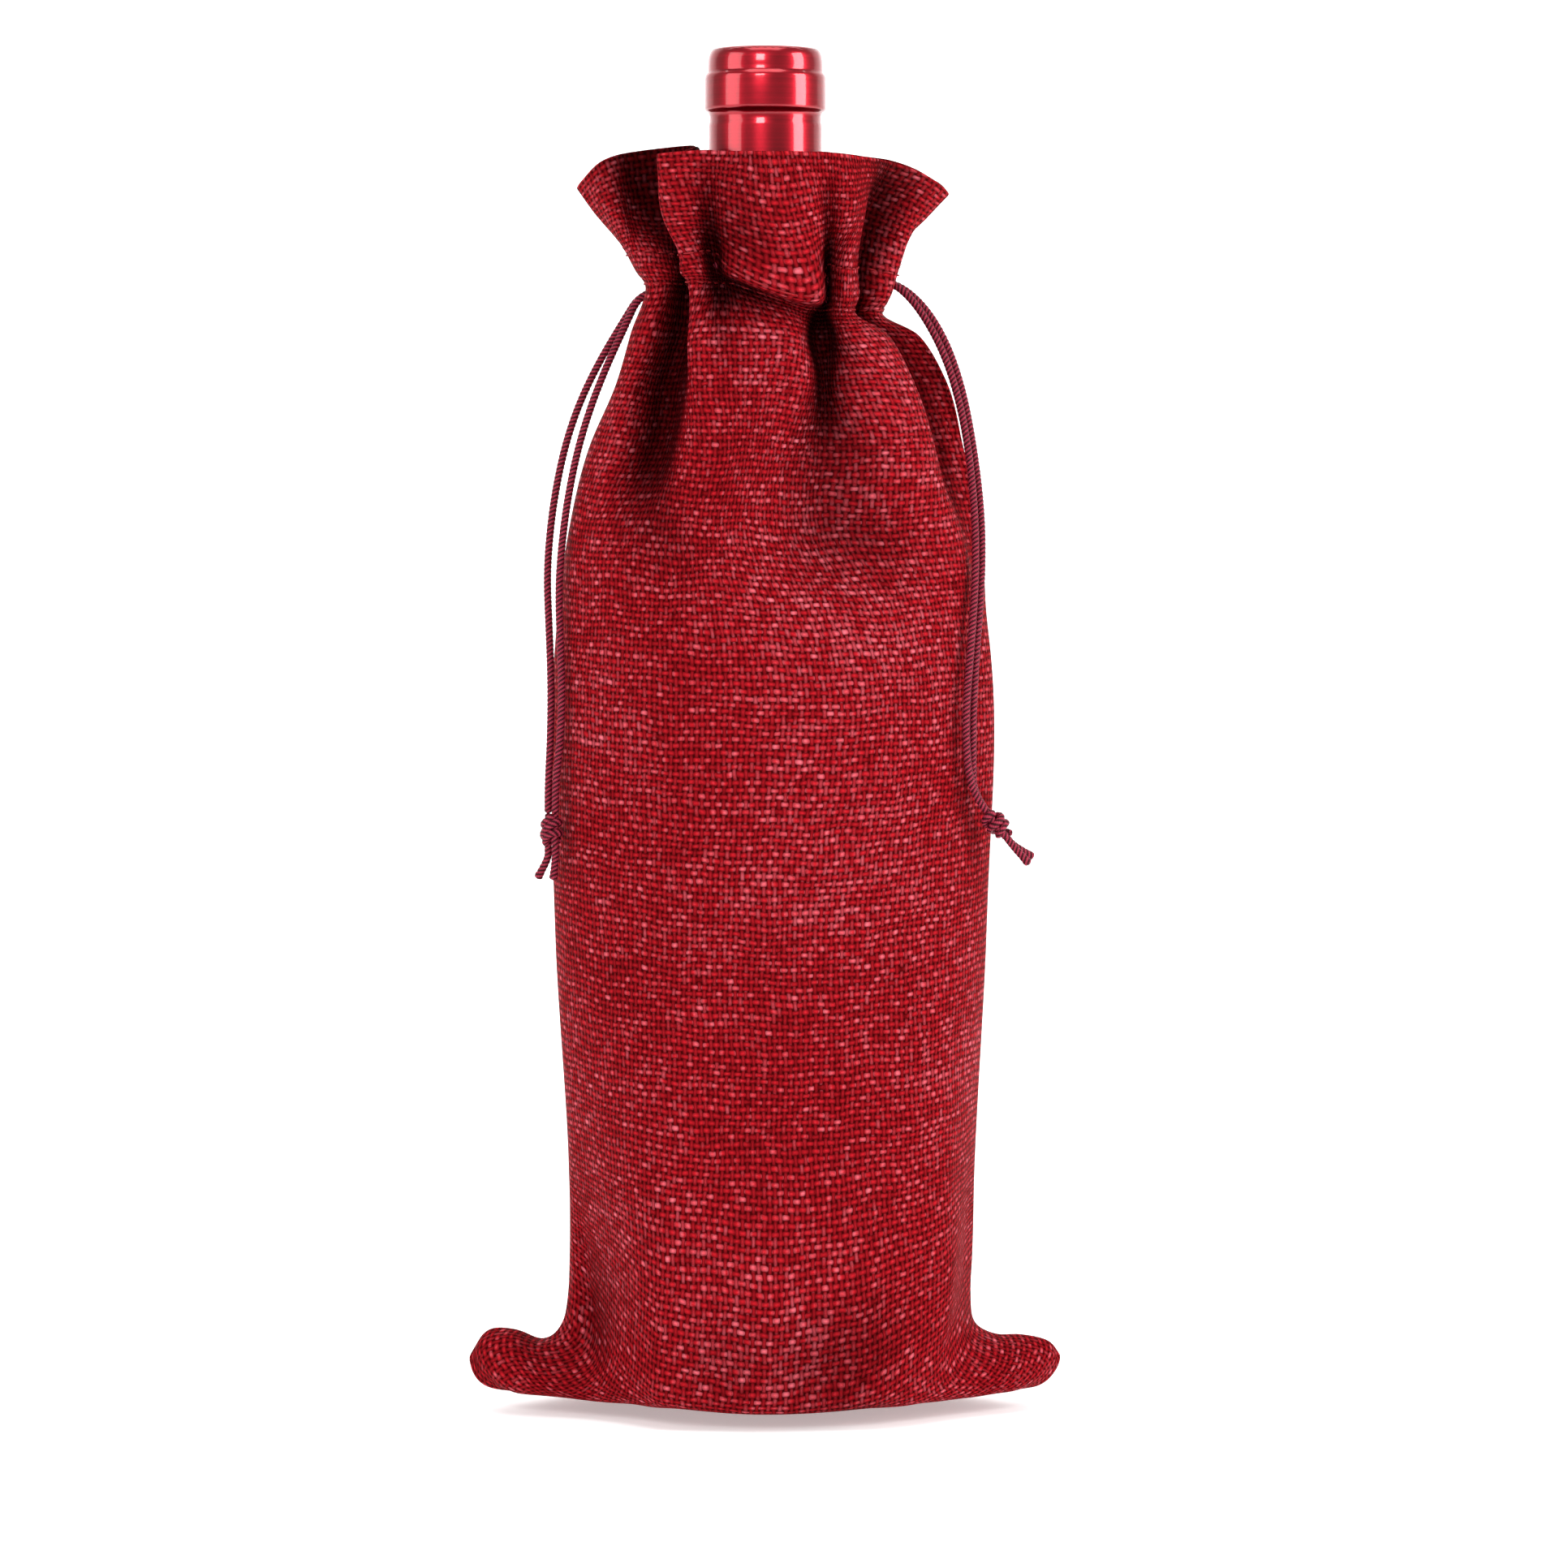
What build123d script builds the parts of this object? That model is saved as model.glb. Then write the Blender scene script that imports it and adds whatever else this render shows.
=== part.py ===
from build123d import *
import math
import os

# A drawstring gift bag of coarse woven cloth, standing on a floor round a corked wine bottle.
# Millimetres. The origin is on the floor under the bottle's axis, +Z up, +X to the right of the
# bag's front, -Y towards the bag's front. Two cloth panels meet at the side seams, in the XZ plane.

# --- cloth -------------------------------------------------------------------------------------
CLOTH = 0.8                # thickness of one layer
LAYER_GAP = 0.3            # air between two layers that lie on each other
FLOOR_HALF_SPAN = 76.2     # bag's flat width is twice this, from corner to corner
BODY_DEPTH = 38.8          # half the standing bag's depth, front to back
MOUTH_Z = 321.0            # top of the ruffle
WAIST_Z = (281.5, 291.5)   # bottom and top of the drawstring channel
WAIST_SIDE = 30.2          # half width at the channel
WAIST_DEPTH = 24.0         # half depth at the channel
WAIST_ROUND = 18.0         # radius of the oval's ends at the channel
EAR_DROP = 0.7             # how far the inside sits lower where the corners flare out flat

# The standing bag is a stack of ovals: height, left extent, right extent, half depth, end radius.
BAG_OVALS = [
    (0.0, 71.0, 71.0, 36.0, 8.0),
    (5.0, FLOOR_HALF_SPAN, FLOOR_HALF_SPAN, 38.4, 9.0),
    (10.0, 73.0, 73.0, BODY_DEPTH, 12.0),
    (16.0, 56.0, 57.0, BODY_DEPTH, 22.0),
    (24.0, 51.0, 53.8, BODY_DEPTH, 27.0),
    (43.0, 51.5, 54.9, BODY_DEPTH, 28.0),
    (120.0, 54.5, 57.3, BODY_DEPTH, 28.0),
    (208.0, 53.5, 57.0, BODY_DEPTH, 28.0),
    (224.0, 50.4, 55.6, 38.4, 27.5),
    (239.0, 47.0, 53.0, 36.6, 27.0),
    (256.0, 40.5, 48.6, 32.8, 24.0),
    (267.0, 36.2, 45.0, 29.8, 22.0),
    (276.0, 33.2, 37.6, 26.6, 19.5),
    (WAIST_Z[0], WAIST_SIDE, WAIST_SIDE, WAIST_DEPTH, WAIST_ROUND),
    (WAIST_Z[1], WAIST_SIDE, WAIST_SIDE, WAIST_DEPTH, WAIST_ROUND),
    (300.0, 37.0, 36.5, 28.0, 19.0),
    (312.0, 48.4, 47.4, 36.0, 22.0),
    (MOUTH_Z, 49.0, 48.0, 38.0, 24.0),
]
FLARE_Z = (4.0, 20.0)      # the flat corners lie between these heights

# --- header facing, seams and stitches ------------------------------------------------------------
FACING_BOTTOM = 278.4
CHANNEL_Z = (282.7, 290.3)   # height over which the channel is fully open
CHANNEL_DEPTH = 2.6          # from the panel to the facing, inside the channel
SEAM_WIDTH = 8.0             # seam allowance
SIDE_SEAM_Z = (24.0, 277.0)
SEAM_GAP = 0.05
BOTTOM_SEAM_HALF = 60.0
STITCH_LENGTH = 2.6
STITCH_WIDTH = 0.5
STITCH_PITCH = 4.0
CASING_STITCHES = 34
CASING_ROWS = {"lower_casing_stitches": 281.8, "upper_casing_stitches": 291.2}
STITCH_OFFSET = 0.02
TACK_LENGTH = 4.6
TACK_WIDTH = 1.0

# --- drawstrings --------------------------------------------------------------------------------
CORD_R = 1.0
EXIT_Y = 1.4                 # the two ends of a cord leave the slit side by side
EXIT_X = 32.2                # centre of the rounded start of each hanging end
LEFT_CORD_Z = 284.6
RIGHT_CORD_Z = 287.6
SLIT_HALF_WIDTH = 2.8
SLIT_MARGIN = 0.4            # slit edge beyond the cord
EXIT_BEND_R = 2.0
CORD_INSET = CLOTH + 0.5 * CHANNEL_DEPTH
STRAND_SPLIT = 1.22          # half the distance between two ends where they enter a knot
RADIUS_SHARE = 0.45
KNOT_LENGTH = 9.4
KNOT_END_R = 2.6
KNOT_WAIST_R = 3.2
TAIL_TIP_R = 1.35
TAIL_TIP_LENGTH = 1.4

# Each knot: where the two ends enter it, the way it points, and the way that splits the two ends.
LEFT_KNOT_TOP = Vector(-54.65, -16.55, 151.8)
LEFT_KNOT_WAY = Vector(0, 0, -1)
RIGHT_KNOT_TOP = Vector(56.3, -19.0, 152.5)
RIGHT_KNOT_WAY = Vector(0.6, 0.15, -0.785).normalized()
KNOT_SPLIT_WAY = {"left": Vector(-0.78, 0.62, 0).normalized(), "right": Vector(0, 1, 0)}
KNOT_RUN = {"left": 6.6, "right": 5.0}

# Routes of the hanging ends, from the slit down to the run that enters the knot.
LEFT_BACK_ROUTE = [
    (-36.9, 1.2, 277.0), (-42.3, 0.6, 268.0), (-47.2, -0.4, 258.2), (-50.9, -1.6, 248.0),
    (-53.5, -3.0, 237.0), (-55.3, -4.6, 225.0), (-56.2, -6.4, 212.0), (-55.5, -9.0, 198.0),
    (-54.9, -11.8, 184.2), (-55.0, -14.0, 170.4),
]
LEFT_FRONT_ROUTE = [
    (-36.2, -3.0, 275.8), (-40.6, -5.0, 266.2), (-44.6, -7.0, 256.0), (-47.9, -8.8, 245.2),
    (-50.3, -10.4, 233.8), (-52.0, -12.0, 221.6), (-52.9, -13.8, 208.6), (-52.4, -15.0, 195.0),
    (-51.9, -15.9, 181.4), (-52.5, -16.8, 169.0),
]
RIGHT_BACK_ROUTE = [
    (37.6, 0.9, 284.6), (42.8, 0.0, 278.8), (47.2, -1.4, 270.6), (50.6, -3.2, 260.2),
    (52.8, -5.0, 249.2), (54.4, -7.6, 238.0), (55.4, -11.0, 227.0), (55.5, -14.0, 216.0),
    (54.9, -16.2, 205.0), (54.0, -17.7, 194.0), (53.3, -18.8, 183.0), (53.0, -19.3, 173.2),
    (53.0, -19.0, 164.6),
]
RIGHT_FRONT_ROUTE = [
    (37.2, -2.6, 283.6), (42.0, -4.2, 276.8), (46.4, -6.0, 267.8), (49.6, -7.8, 257.4),
    (51.7, -10.4, 246.6), (53.0, -12.6, 235.6), (53.7, -15.2, 224.6), (53.7, -17.6, 213.6),
    (53.1, -19.4, 202.6), (52.2, -21.0, 191.4), (51.3, -22.0, 180.2), (51.2, -22.2, 170.0),
    (51.8, -21.8, 162.6),
]

# --- bottle -------------------------------------------------------------------------------------
BOTTLE_Z = 2 * CLOTH         # the glass stands on the base cloth and the opened bottom seam
BOTTLE_TOP = 347.6
GLASS_R = 37.4
GLASS_WALL = 3.2
HEEL_R = 6.0
SHOULDER_Z = 176.0
NECK_Z = 262.0
NECK_R = 14.2
BORE_R = 9.3
PUNT_R = 26.0
PUNT_HEIGHT = 20.0
FOIL = 0.3
FOIL_GAP = 0.05
LIQUID_GAP = 0.05
FLOOR_GAP = 0.3
WINE_TOP = 288.0
CORK_LENGTH = 44.0
CORK_TOP_DROP = 1.0
DISC_R = 13.0
DISC_DOME = 0.5
# Outside of the foil over the bottle's finish: radius and height, from the skirt's end upwards.
FOIL_OUTLINE = [
    (14.7, 287.0), (14.6, 300.0), (14.6, 327.6), (14.4, 328.6), (14.4, 330.4), (15.6, 331.6),
    (15.6, 340.2), (15.15, 341.2), (14.95, 344.6), (14.3, 346.6), (DISC_R, 347.1),
]

parts = {}


def oval_wire(z, left, right, depth, end_radius, inset):
    """A closed oval of four tangent arcs at height z, moved inwards by inset."""
    centre = 0.5 * (right - left)
    half = 0.5 * (left + right) - inset
    b = depth - inset
    r = end_radius - inset
    big = ((half - r) ** 2 + b * b - r * r) / (2 * (b - r))
    reach = r / (big - r)
    tx = (half - r) * (1 + reach)
    ty = (big - b) * reach
    lf = (centre - tx, -ty)
    rf = (centre + tx, -ty)
    rb = (centre + tx, ty)
    lb = (centre - tx, ty)
    with BuildLine(Plane.XY.offset(z)) as outline:
        ThreePointArc(lf, (centre, -b), rf)
        ThreePointArc(rf, (centre + half, 0), rb)
        ThreePointArc(rb, (centre, b), lb)
        ThreePointArc(lb, (centre - half, 0), lf)
    return outline.wire()


def loft_ovals(sections):
    """A solid through (oval, inset, height) sections, straight from one to the next."""
    wires = [oval_wire(z, *oval[1:], inset) for oval, inset, z in sections]
    return Solid.make_loft(wires, ruled=True)


def oval_at(z):
    """The bag's outer oval at any height, between the listed ones."""
    for low, high in zip(BAG_OVALS, BAG_OVALS[1:]):
        if low[0] <= z <= high[0]:
            share = (z - low[0]) / (high[0] - low[0])
            return tuple(a + share * (b - a) for a, b in zip(low, high))
    return BAG_OVALS[-1]


def liner(inset):
    """The space inside the bag, from the base cloth to above the mouth, inset from its outside."""
    sections = [(BAG_OVALS[0], inset, inset)]
    for oval in BAG_OVALS[1:]:
        drop = EAR_DROP if FLARE_Z[0] < oval[0] < FLARE_Z[1] else 0
        sections.append((oval, inset, oval[0] - drop))
    sections.append((BAG_OVALS[-1], inset, MOUTH_Z + 1))
    return loft_ovals(sections)


def half_space(front):
    """A box over everything in front of, or behind, the side seams."""
    y = -100 if front else 100
    return Pos(0, y, 180) * Box(400, 200, 400)


def slab(x, y, z):
    """A box between two values along each axis."""
    size = [high - low for low, high in (x, y, z)]
    centre = [0.5 * (low + high) for low, high in (x, y, z)]
    return Pos(*centre) * Box(*size)


def solid_of(shape):
    """The one solid of a result."""
    return max(shape.solids(), key=lambda s: s.volume)


def panels():
    """Front and back cloth, each from the middle of the base to the mouth, with half of each slit."""
    outer = loft_ovals([(oval, 0, oval[0]) for oval in BAG_OVALS])
    shell = outer - liner(CLOTH)
    reach = CORD_R + SLIT_MARGIN
    for side, cord_z in ((-1, LEFT_CORD_Z), (1, RIGHT_CORD_Z)):
        x = sorted((side * (WAIST_SIDE - 3), side * (WAIST_SIDE + 3)))
        shell -= slab(x, (-SLIT_HALF_WIDTH, SLIT_HALF_WIDTH), (cord_z - reach, cord_z + reach))
    parts["front_panel"] = solid_of(shell & half_space(True))
    parts["back_panel"] = solid_of(shell & half_space(False))


def facings():
    """The folded-in top of each panel, which closes the drawstring channel from the inside."""
    near = CLOTH + LAYER_GAP
    far = CLOTH + CHANNEL_DEPTH
    steps = [(FACING_BOTTOM, near), (WAIST_Z[0], near), (CHANNEL_Z[0], far), (CHANNEL_Z[1], far)]
    steps += [(WAIST_Z[1], near), (300.0, near), (312.0, near), (MOUTH_Z, near)]
    outer = loft_ovals([(oval_at(z), inset, z) for z, inset in steps])
    low = (FACING_BOTTOM - 1, near)
    high = (MOUTH_Z + 1, near)
    through = [low] + steps[1:-1] + [high]
    inner = loft_ovals([(oval_at(z), inset + CLOTH, z) for z, inset in through])
    shell = outer - inner
    parts["front_facing"] = solid_of(shell & half_space(True))
    parts["back_facing"] = solid_of(shell & half_space(False))


def seams():
    """Seam allowances: upright strips along both sides, and one pressed open across the base."""
    stack = [oval for oval in BAG_OVALS if SIDE_SEAM_Z[0] <= oval[0] <= WAIST_Z[0]]
    near = CLOTH + SEAM_GAP
    ring = loft_ovals([(oval, near, oval[0]) for oval in stack])
    ring -= loft_ovals([(oval, near + SEAM_WIDTH, oval[0]) for oval in stack])
    both = (-CLOTH, CLOTH)
    parts["left_side_seam"] = solid_of(ring & slab((-90, 0), both, SIDE_SEAM_Z))
    parts["right_side_seam"] = solid_of(ring & slab((0, 90), both, SIDE_SEAM_Z))
    width = (-SEAM_WIDTH, SEAM_WIDTH)
    span = (-BOTTOM_SEAM_HALF, BOTTOM_SEAM_HALF)
    parts["bottom_seam"] = slab(span, width, (CLOTH, 2 * CLOTH))


def stitch_on_oval(z, turn, length, width):
    """One stitch lying along the outside of the channel, at a turn in degrees from +X."""
    wire = oval_wire(*oval_at(z), -STITCH_OFFSET)
    share = (turn % 360) / 360
    at = wire @ share
    way = wire % share
    across = way.cross(Vector(0, 0, 1))
    if across.dot(Vector(at.X, at.Y, 0)) < 0:
        across = -across
    place = Plane(origin=at, x_dir=way, z_dir=across)
    return place * (Pos(0, 0, 0.25 * width) * Box(length, width, 0.5 * width))


def stitches():
    """The visible threads: two rows round the channel, rows along the seams, and the slits' tacks."""
    for name, z in CASING_ROWS.items():
        turns = [360 * (i + 0.5) / CASING_STITCHES for i in range(CASING_STITCHES)]
        row = [stitch_on_oval(z, turn, STITCH_LENGTH, STITCH_WIDTH) for turn in turns]
        parts[name] = Compound(row)
    thread = 0.5 * STITCH_WIDTH
    count = int((SIDE_SEAM_Z[1] - SIDE_SEAM_Z[0] - SEAM_WIDTH) / STITCH_PITCH)
    for name, side, extent in (("left", -1, 1), ("right", 1, 2)):
        row = []
        for i in range(count):
            z = SIDE_SEAM_Z[0] + 0.5 * SEAM_WIDTH + i * STITCH_PITCH
            x = side * (oval_at(z)[extent] - CLOTH - 0.3 * SEAM_WIDTH)
            for face in (-1, 1):
                y = face * (CLOTH + 0.5 * thread)
                row.append(Pos(x, y, z) * Box(STITCH_WIDTH, thread, STITCH_LENGTH))
        parts[name + "_seam_stitches"] = Compound(row)
    tacks = []
    for side, cord_z in ((-1, LEFT_CORD_Z), (1, RIGHT_CORD_Z)):
        for end in (-1, 1):
            z = cord_z + end * (CORD_R + SLIT_MARGIN + 0.5 * TACK_WIDTH)
            x = side * (WAIST_SIDE + STITCH_OFFSET + 0.25 * TACK_WIDTH)
            tacks.append(Pos(x, 0, z) * Box(0.5 * TACK_WIDTH, TACK_LENGTH, TACK_WIDTH))
    parts["slit_bar_tacks"] = Compound(tacks)


def report_tube(name, tube, path, radii):
    """Prints a tube's bend radii and its volume beside its section times its length."""
    expected = math.pi * CORD_R**2 * path.length
    print(name, "radii", [round(r, 1) for r in radii], "length", round(path.length, 1))
    print(name, "volume", round(tube.volume, 1), "section x length", round(expected, 1))


def round_tube(path):
    """A round cord along a path."""
    return sweep(Plane(origin=path @ 0, z_dir=path % 0) * Circle(CORD_R), path=path)


def channel_loop(side, z):
    """One cord's run round the whole channel: in through its slit at the front, out at the back."""
    half = WAIST_SIDE - CORD_INSET
    b = WAIST_DEPTH - CORD_INSET
    r = WAIST_ROUND - CORD_INSET
    big = ((half - r) ** 2 + b * b - r * r) / (2 * (b - r))
    end_turn = math.degrees(math.atan2(big - b, half - r))
    lean = math.degrees(math.asin((EXIT_Y + EXIT_BEND_R) / (r + EXIT_BEND_R)))
    bend_x = half - r + math.sqrt((r + EXIT_BEND_R) ** 2 - (EXIT_Y + EXIT_BEND_R) ** 2)
    start_x = EXIT_X - CORD_R - SEAM_GAP
    turns = [(EXIT_BEND_R, lean - 90), (r, end_turn - lean), (big, 180 - 2 * end_turn)]
    turns += [(r, 2 * end_turn), (big, 180 - 2 * end_turn), (r, end_turn - lean)]
    turns += [(EXIT_BEND_R, lean - 90)]
    with BuildLine(Plane.XY.offset(z)) as path:
        last = Line((-start_x, -EXIT_Y), (-bend_x, -EXIT_Y))
        for radius, turn in turns:
            last = JernArc(start=last @ 1, tangent=last % 1, radius=radius, arc_size=turn)
        Line(last @ 1, (-start_x, EXIT_Y))
    tube = round_tube(path.wire())
    report_tube("channel loop", tube, path.wire(), [t[0] for t in turns])
    return solid_of(tube if side < 0 else mirror(tube, about=Plane.YZ))


def bend_radii(route):
    """The largest arc that each corner of a route has room for."""
    radii = []
    for before, at, after in zip(route, route[1:], route[2:]):
        turn = math.radians((at - before).get_angle(after - at))
        shorter = min((at - before).length, (after - at).length)
        radii.append(RADIUS_SHARE * shorter / math.tan(turn / 2))
    return radii


def knot_entry(side, knot_top, knot_way, sign):
    """The last two points of a hanging end: the start of its straight run, and the knot."""
    split = KNOT_SPLIT_WAY[side]
    across = (split - knot_way * split.dot(knot_way)).normalized()
    end = knot_top + across * (sign * STRAND_SPLIT)
    return [end - knot_way * KNOT_RUN[side], end]


def strand(name, side, z, route, sign, knot_top, knot_way):
    """One hanging end of a cord, with a rounded start at the slit."""
    x = EXIT_X if side == "right" else -EXIT_X
    points = [Vector(x, sign * EXIT_Y, z)] + [Vector(*p) for p in route]
    points += knot_entry(side, knot_top, knot_way, sign)
    radii = bend_radii(points)
    path = Wire(FilletPolyline(*points, radius=radii).edges())
    tube = round_tube(path)
    report_tube(name, tube, path, radii)
    parts[name] = solid_of(tube + Pos(*points[0]) * Sphere(CORD_R))


def knot(top, way):
    """An overhand knot's outer shape: a barrel, flat where the cords enter and leave."""
    with BuildPart() as barrel:
        with BuildSketch(Plane.XZ):
            with BuildLine():
                Line((0, 0), (KNOT_END_R, 0))
                middle = (KNOT_WAIST_R, 0.5 * KNOT_LENGTH)
                ThreePointArc((KNOT_END_R, 0), middle, (KNOT_END_R, KNOT_LENGTH))
                Line((KNOT_END_R, KNOT_LENGTH), (0, KNOT_LENGTH))
                Line((0, KNOT_LENGTH), (0, 0))
            make_face()
        revolve(axis=Axis.Z)
    return Plane(origin=top, z_dir=way) * barrel.part


def tails(name, side, knot_top, knot_way, leans):
    """The two short cut ends below a knot, with flared, melted tips."""
    pieces = []
    bottom = knot_top + knot_way * KNOT_LENGTH
    split = KNOT_SPLIT_WAY[side]
    across = (split - knot_way * split.dot(knot_way)).normalized()
    for sign, lean in zip((-1, 1), leans):
        start = bottom + across * (sign * STRAND_SPLIT)
        bend = start + knot_way * 2.4
        end = bend + (knot_way * 4.2 + Vector(*lean))
        points = [start, bend, end]
        radii = bend_radii(points)
        path = Wire(FilletPolyline(*points, radius=radii).edges())
        tube = round_tube(path)
        report_tube(name, tube, path, radii)
        tip = Plane(origin=end, z_dir=(end - bend).normalized())
        flare = Cone(CORD_R, TAIL_TIP_R, TAIL_TIP_LENGTH, align=(Align.CENTER, Align.CENTER, Align.MIN))
        pieces.append(solid_of(tube + tip * flare))
    parts[name] = Compound(pieces)


def drawstrings():
    """Two cords: each runs round the channel and hangs from its own side as a knotted pair."""
    parts["left_channel_cord"] = channel_loop(-1, LEFT_CORD_Z)
    parts["right_channel_cord"] = channel_loop(1, RIGHT_CORD_Z)
    left = (LEFT_KNOT_TOP, LEFT_KNOT_WAY)
    right = (RIGHT_KNOT_TOP, RIGHT_KNOT_WAY)
    strand("left_back_strand", "left", LEFT_CORD_Z, LEFT_BACK_ROUTE, 1, *left)
    strand("left_front_strand", "left", LEFT_CORD_Z, LEFT_FRONT_ROUTE, -1, *left)
    strand("right_back_strand", "right", RIGHT_CORD_Z, RIGHT_BACK_ROUTE, 1, *right)
    strand("right_front_strand", "right", RIGHT_CORD_Z, RIGHT_FRONT_ROUTE, -1, *right)
    parts["left_knot"] = knot(*left)
    parts["right_knot"] = knot(*right)
    tails("left_tails", "left", *left, [(-0.4, -1.0, 0), (-2.2, 0.4, 0)])
    tails("right_tails", "right", *right, [(0.6, -1.4, -0.2), (1.8, 0.9, 0.6)])


def turned(points):
    """A solid of revolution about Z from a closed outline of radius and height."""
    outline = Plane.XZ * make_face(Polyline(*points, close=True).edges())
    return solid_of(revolve(outline, axis=Axis.Z))


def shoulder(radius_low, radius_high, z_low, z_high, steps=10):
    """Points of a soft S between the bottle's body and its neck."""
    points = []
    for i in range(steps + 1):
        share = i / steps
        ease = share * share * (3 - 2 * share)
        points.append((radius_low + (radius_high - radius_low) * ease, z_low + (z_high - z_low) * share))
    return points


def glass_outline(inset):
    """Right-hand side of the glass under the foil, bottom to top, moved inwards by inset."""
    top = [(r - inset, z) for r, z in FOIL_OUTLINE]
    top[-1] = (top[-1][0], top[-1][1] - inset)
    body = shoulder(GLASS_R, NECK_R, SHOULDER_Z, NECK_Z)
    return body + top


def bottle():
    """Glass with a punt, the wine, the cork, and the foil capsule in two pieces."""
    foil_inner = FOIL + FOIL_GAP
    heel = [(GLASS_R - HEEL_R * (1 - math.cos(a)), BOTTLE_Z + HEEL_R * (1 - math.sin(a)))
            for a in (math.radians(90 - 15 * i) for i in range(7))]
    punt = [(PUNT_R * math.sin(a), BOTTLE_Z + PUNT_HEIGHT * math.cos(a))
            for a in (math.radians(15 * i) for i in range(7))]
    rim_z = BOTTLE_TOP - DISC_DOME - foil_inner
    outside = punt + heel + glass_outline(foil_inner)[:-1] + [(DISC_R, rim_z), (BORE_R, rim_z)]
    inner_body = [(r - GLASS_WALL, z) for r, z in shoulder(GLASS_R, BORE_R + GLASS_WALL, SHOULDER_Z, NECK_Z)]
    floor_z = BOTTLE_Z + PUNT_HEIGHT + GLASS_WALL
    inside = [(BORE_R, rim_z)] + list(reversed(inner_body))
    inside += [(GLASS_R - GLASS_WALL, BOTTLE_Z + 2 * HEEL_R), (PUNT_R + 3, BOTTLE_Z + HEEL_R)]
    inside += [(0.6 * PUNT_R, floor_z - 3.0), (0, floor_z)]
    parts["bottle_glass"] = turned(outside + inside[1:])

    walls = [(r - LIQUID_GAP, z) for r, z in inside[1:-3]]
    low = [(r, z + FLOOR_GAP) for r, z in inside[-3:-1]]
    wine = [(0, WINE_TOP), (BORE_R - LIQUID_GAP, WINE_TOP)] + walls + low + [(0, floor_z + FLOOR_GAP)]
    parts["wine"] = turned(wine)

    cork_top = rim_z - CORK_TOP_DROP
    cork_r = BORE_R - LIQUID_GAP
    cork_low = cork_top - CORK_LENGTH
    bevel = 0.6
    cork = [(0, cork_low), (cork_r - bevel, cork_low), (cork_r, cork_low + bevel)]
    cork += [(cork_r, cork_top - bevel), (cork_r - bevel, cork_top), (0, cork_top)]
    parts["cork"] = turned(cork)

    inner = [(r - FOIL, z) for r, z in FOIL_OUTLINE[:-1]] + [(DISC_R, FOIL_OUTLINE[-1][1] - FOIL)]
    parts["capsule_skirt"] = turned(FOIL_OUTLINE + list(reversed(inner)))

    disc_low = FOIL_OUTLINE[-1][1] - FOIL
    disc_r = DISC_R - FOIL_GAP
    disc = [(0, disc_low), (disc_r, disc_low), (disc_r, disc_low + FOIL)]
    disc += [(0.55 * DISC_R, BOTTLE_TOP - 0.1), (0, BOTTLE_TOP)]
    parts["capsule_disc"] = turned(disc)


panels()
facings()
seams()
stitches()
drawstrings()
bottle()

os.makedirs("parts", exist_ok=True)
for node, shape in parts.items():
    export_step(shape, "parts/" + node + ".step")
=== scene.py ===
import math

import bpy
import numpy as np
from bpy.props import FloatProperty, FloatVectorProperty, PointerProperty
from bpy.types import Operator, Panel, PropertyGroup
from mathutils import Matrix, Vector


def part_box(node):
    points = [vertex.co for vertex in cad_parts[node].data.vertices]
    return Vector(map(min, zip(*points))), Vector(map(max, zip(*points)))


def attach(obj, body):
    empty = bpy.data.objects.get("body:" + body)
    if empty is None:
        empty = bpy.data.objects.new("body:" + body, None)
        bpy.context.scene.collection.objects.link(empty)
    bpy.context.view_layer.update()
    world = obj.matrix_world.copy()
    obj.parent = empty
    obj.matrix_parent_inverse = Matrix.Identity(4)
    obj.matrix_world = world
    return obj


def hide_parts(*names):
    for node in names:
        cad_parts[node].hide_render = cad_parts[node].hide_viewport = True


bl_info = {
    "name": "Wine Gift Bag",
    "version": (1, 0, 0),
    "blender": (4, 5, 0),
    "location": "View3D > Sidebar > Gift Bag",
    "description": "Builds a drawstring gift bag of woven cloth round a corked bottle",
    "category": "Object",
}

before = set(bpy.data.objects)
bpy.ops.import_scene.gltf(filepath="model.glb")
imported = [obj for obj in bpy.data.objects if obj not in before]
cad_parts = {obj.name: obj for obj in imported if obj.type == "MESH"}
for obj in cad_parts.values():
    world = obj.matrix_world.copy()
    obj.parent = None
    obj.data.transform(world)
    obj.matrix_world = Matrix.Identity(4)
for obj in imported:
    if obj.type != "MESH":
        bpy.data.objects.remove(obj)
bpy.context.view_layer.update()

MM = 0.001

# --- the bag's cloth, in millimetres: the same frame as the CAD, front towards -Y ------------------
FLAT_HALF_WIDTH = 1000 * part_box("front_panel")[1].x
FLAT_HEIGHT = 356.0
BODY_HALF_DEPTH = 38.9
CHANNEL_LOW = 314.5        # along the flat cloth, from the bottom seam up
CHANNEL_HIGH = 324.5
FLOOR_GAP = 0.15           # outer face of the base above the floor
COLUMNS = 72               # quads across one panel
ROWS = ((0, 0), (62, 32), (215, 66), (356, 152))   # places up a panel, and the quads used up to each

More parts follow.
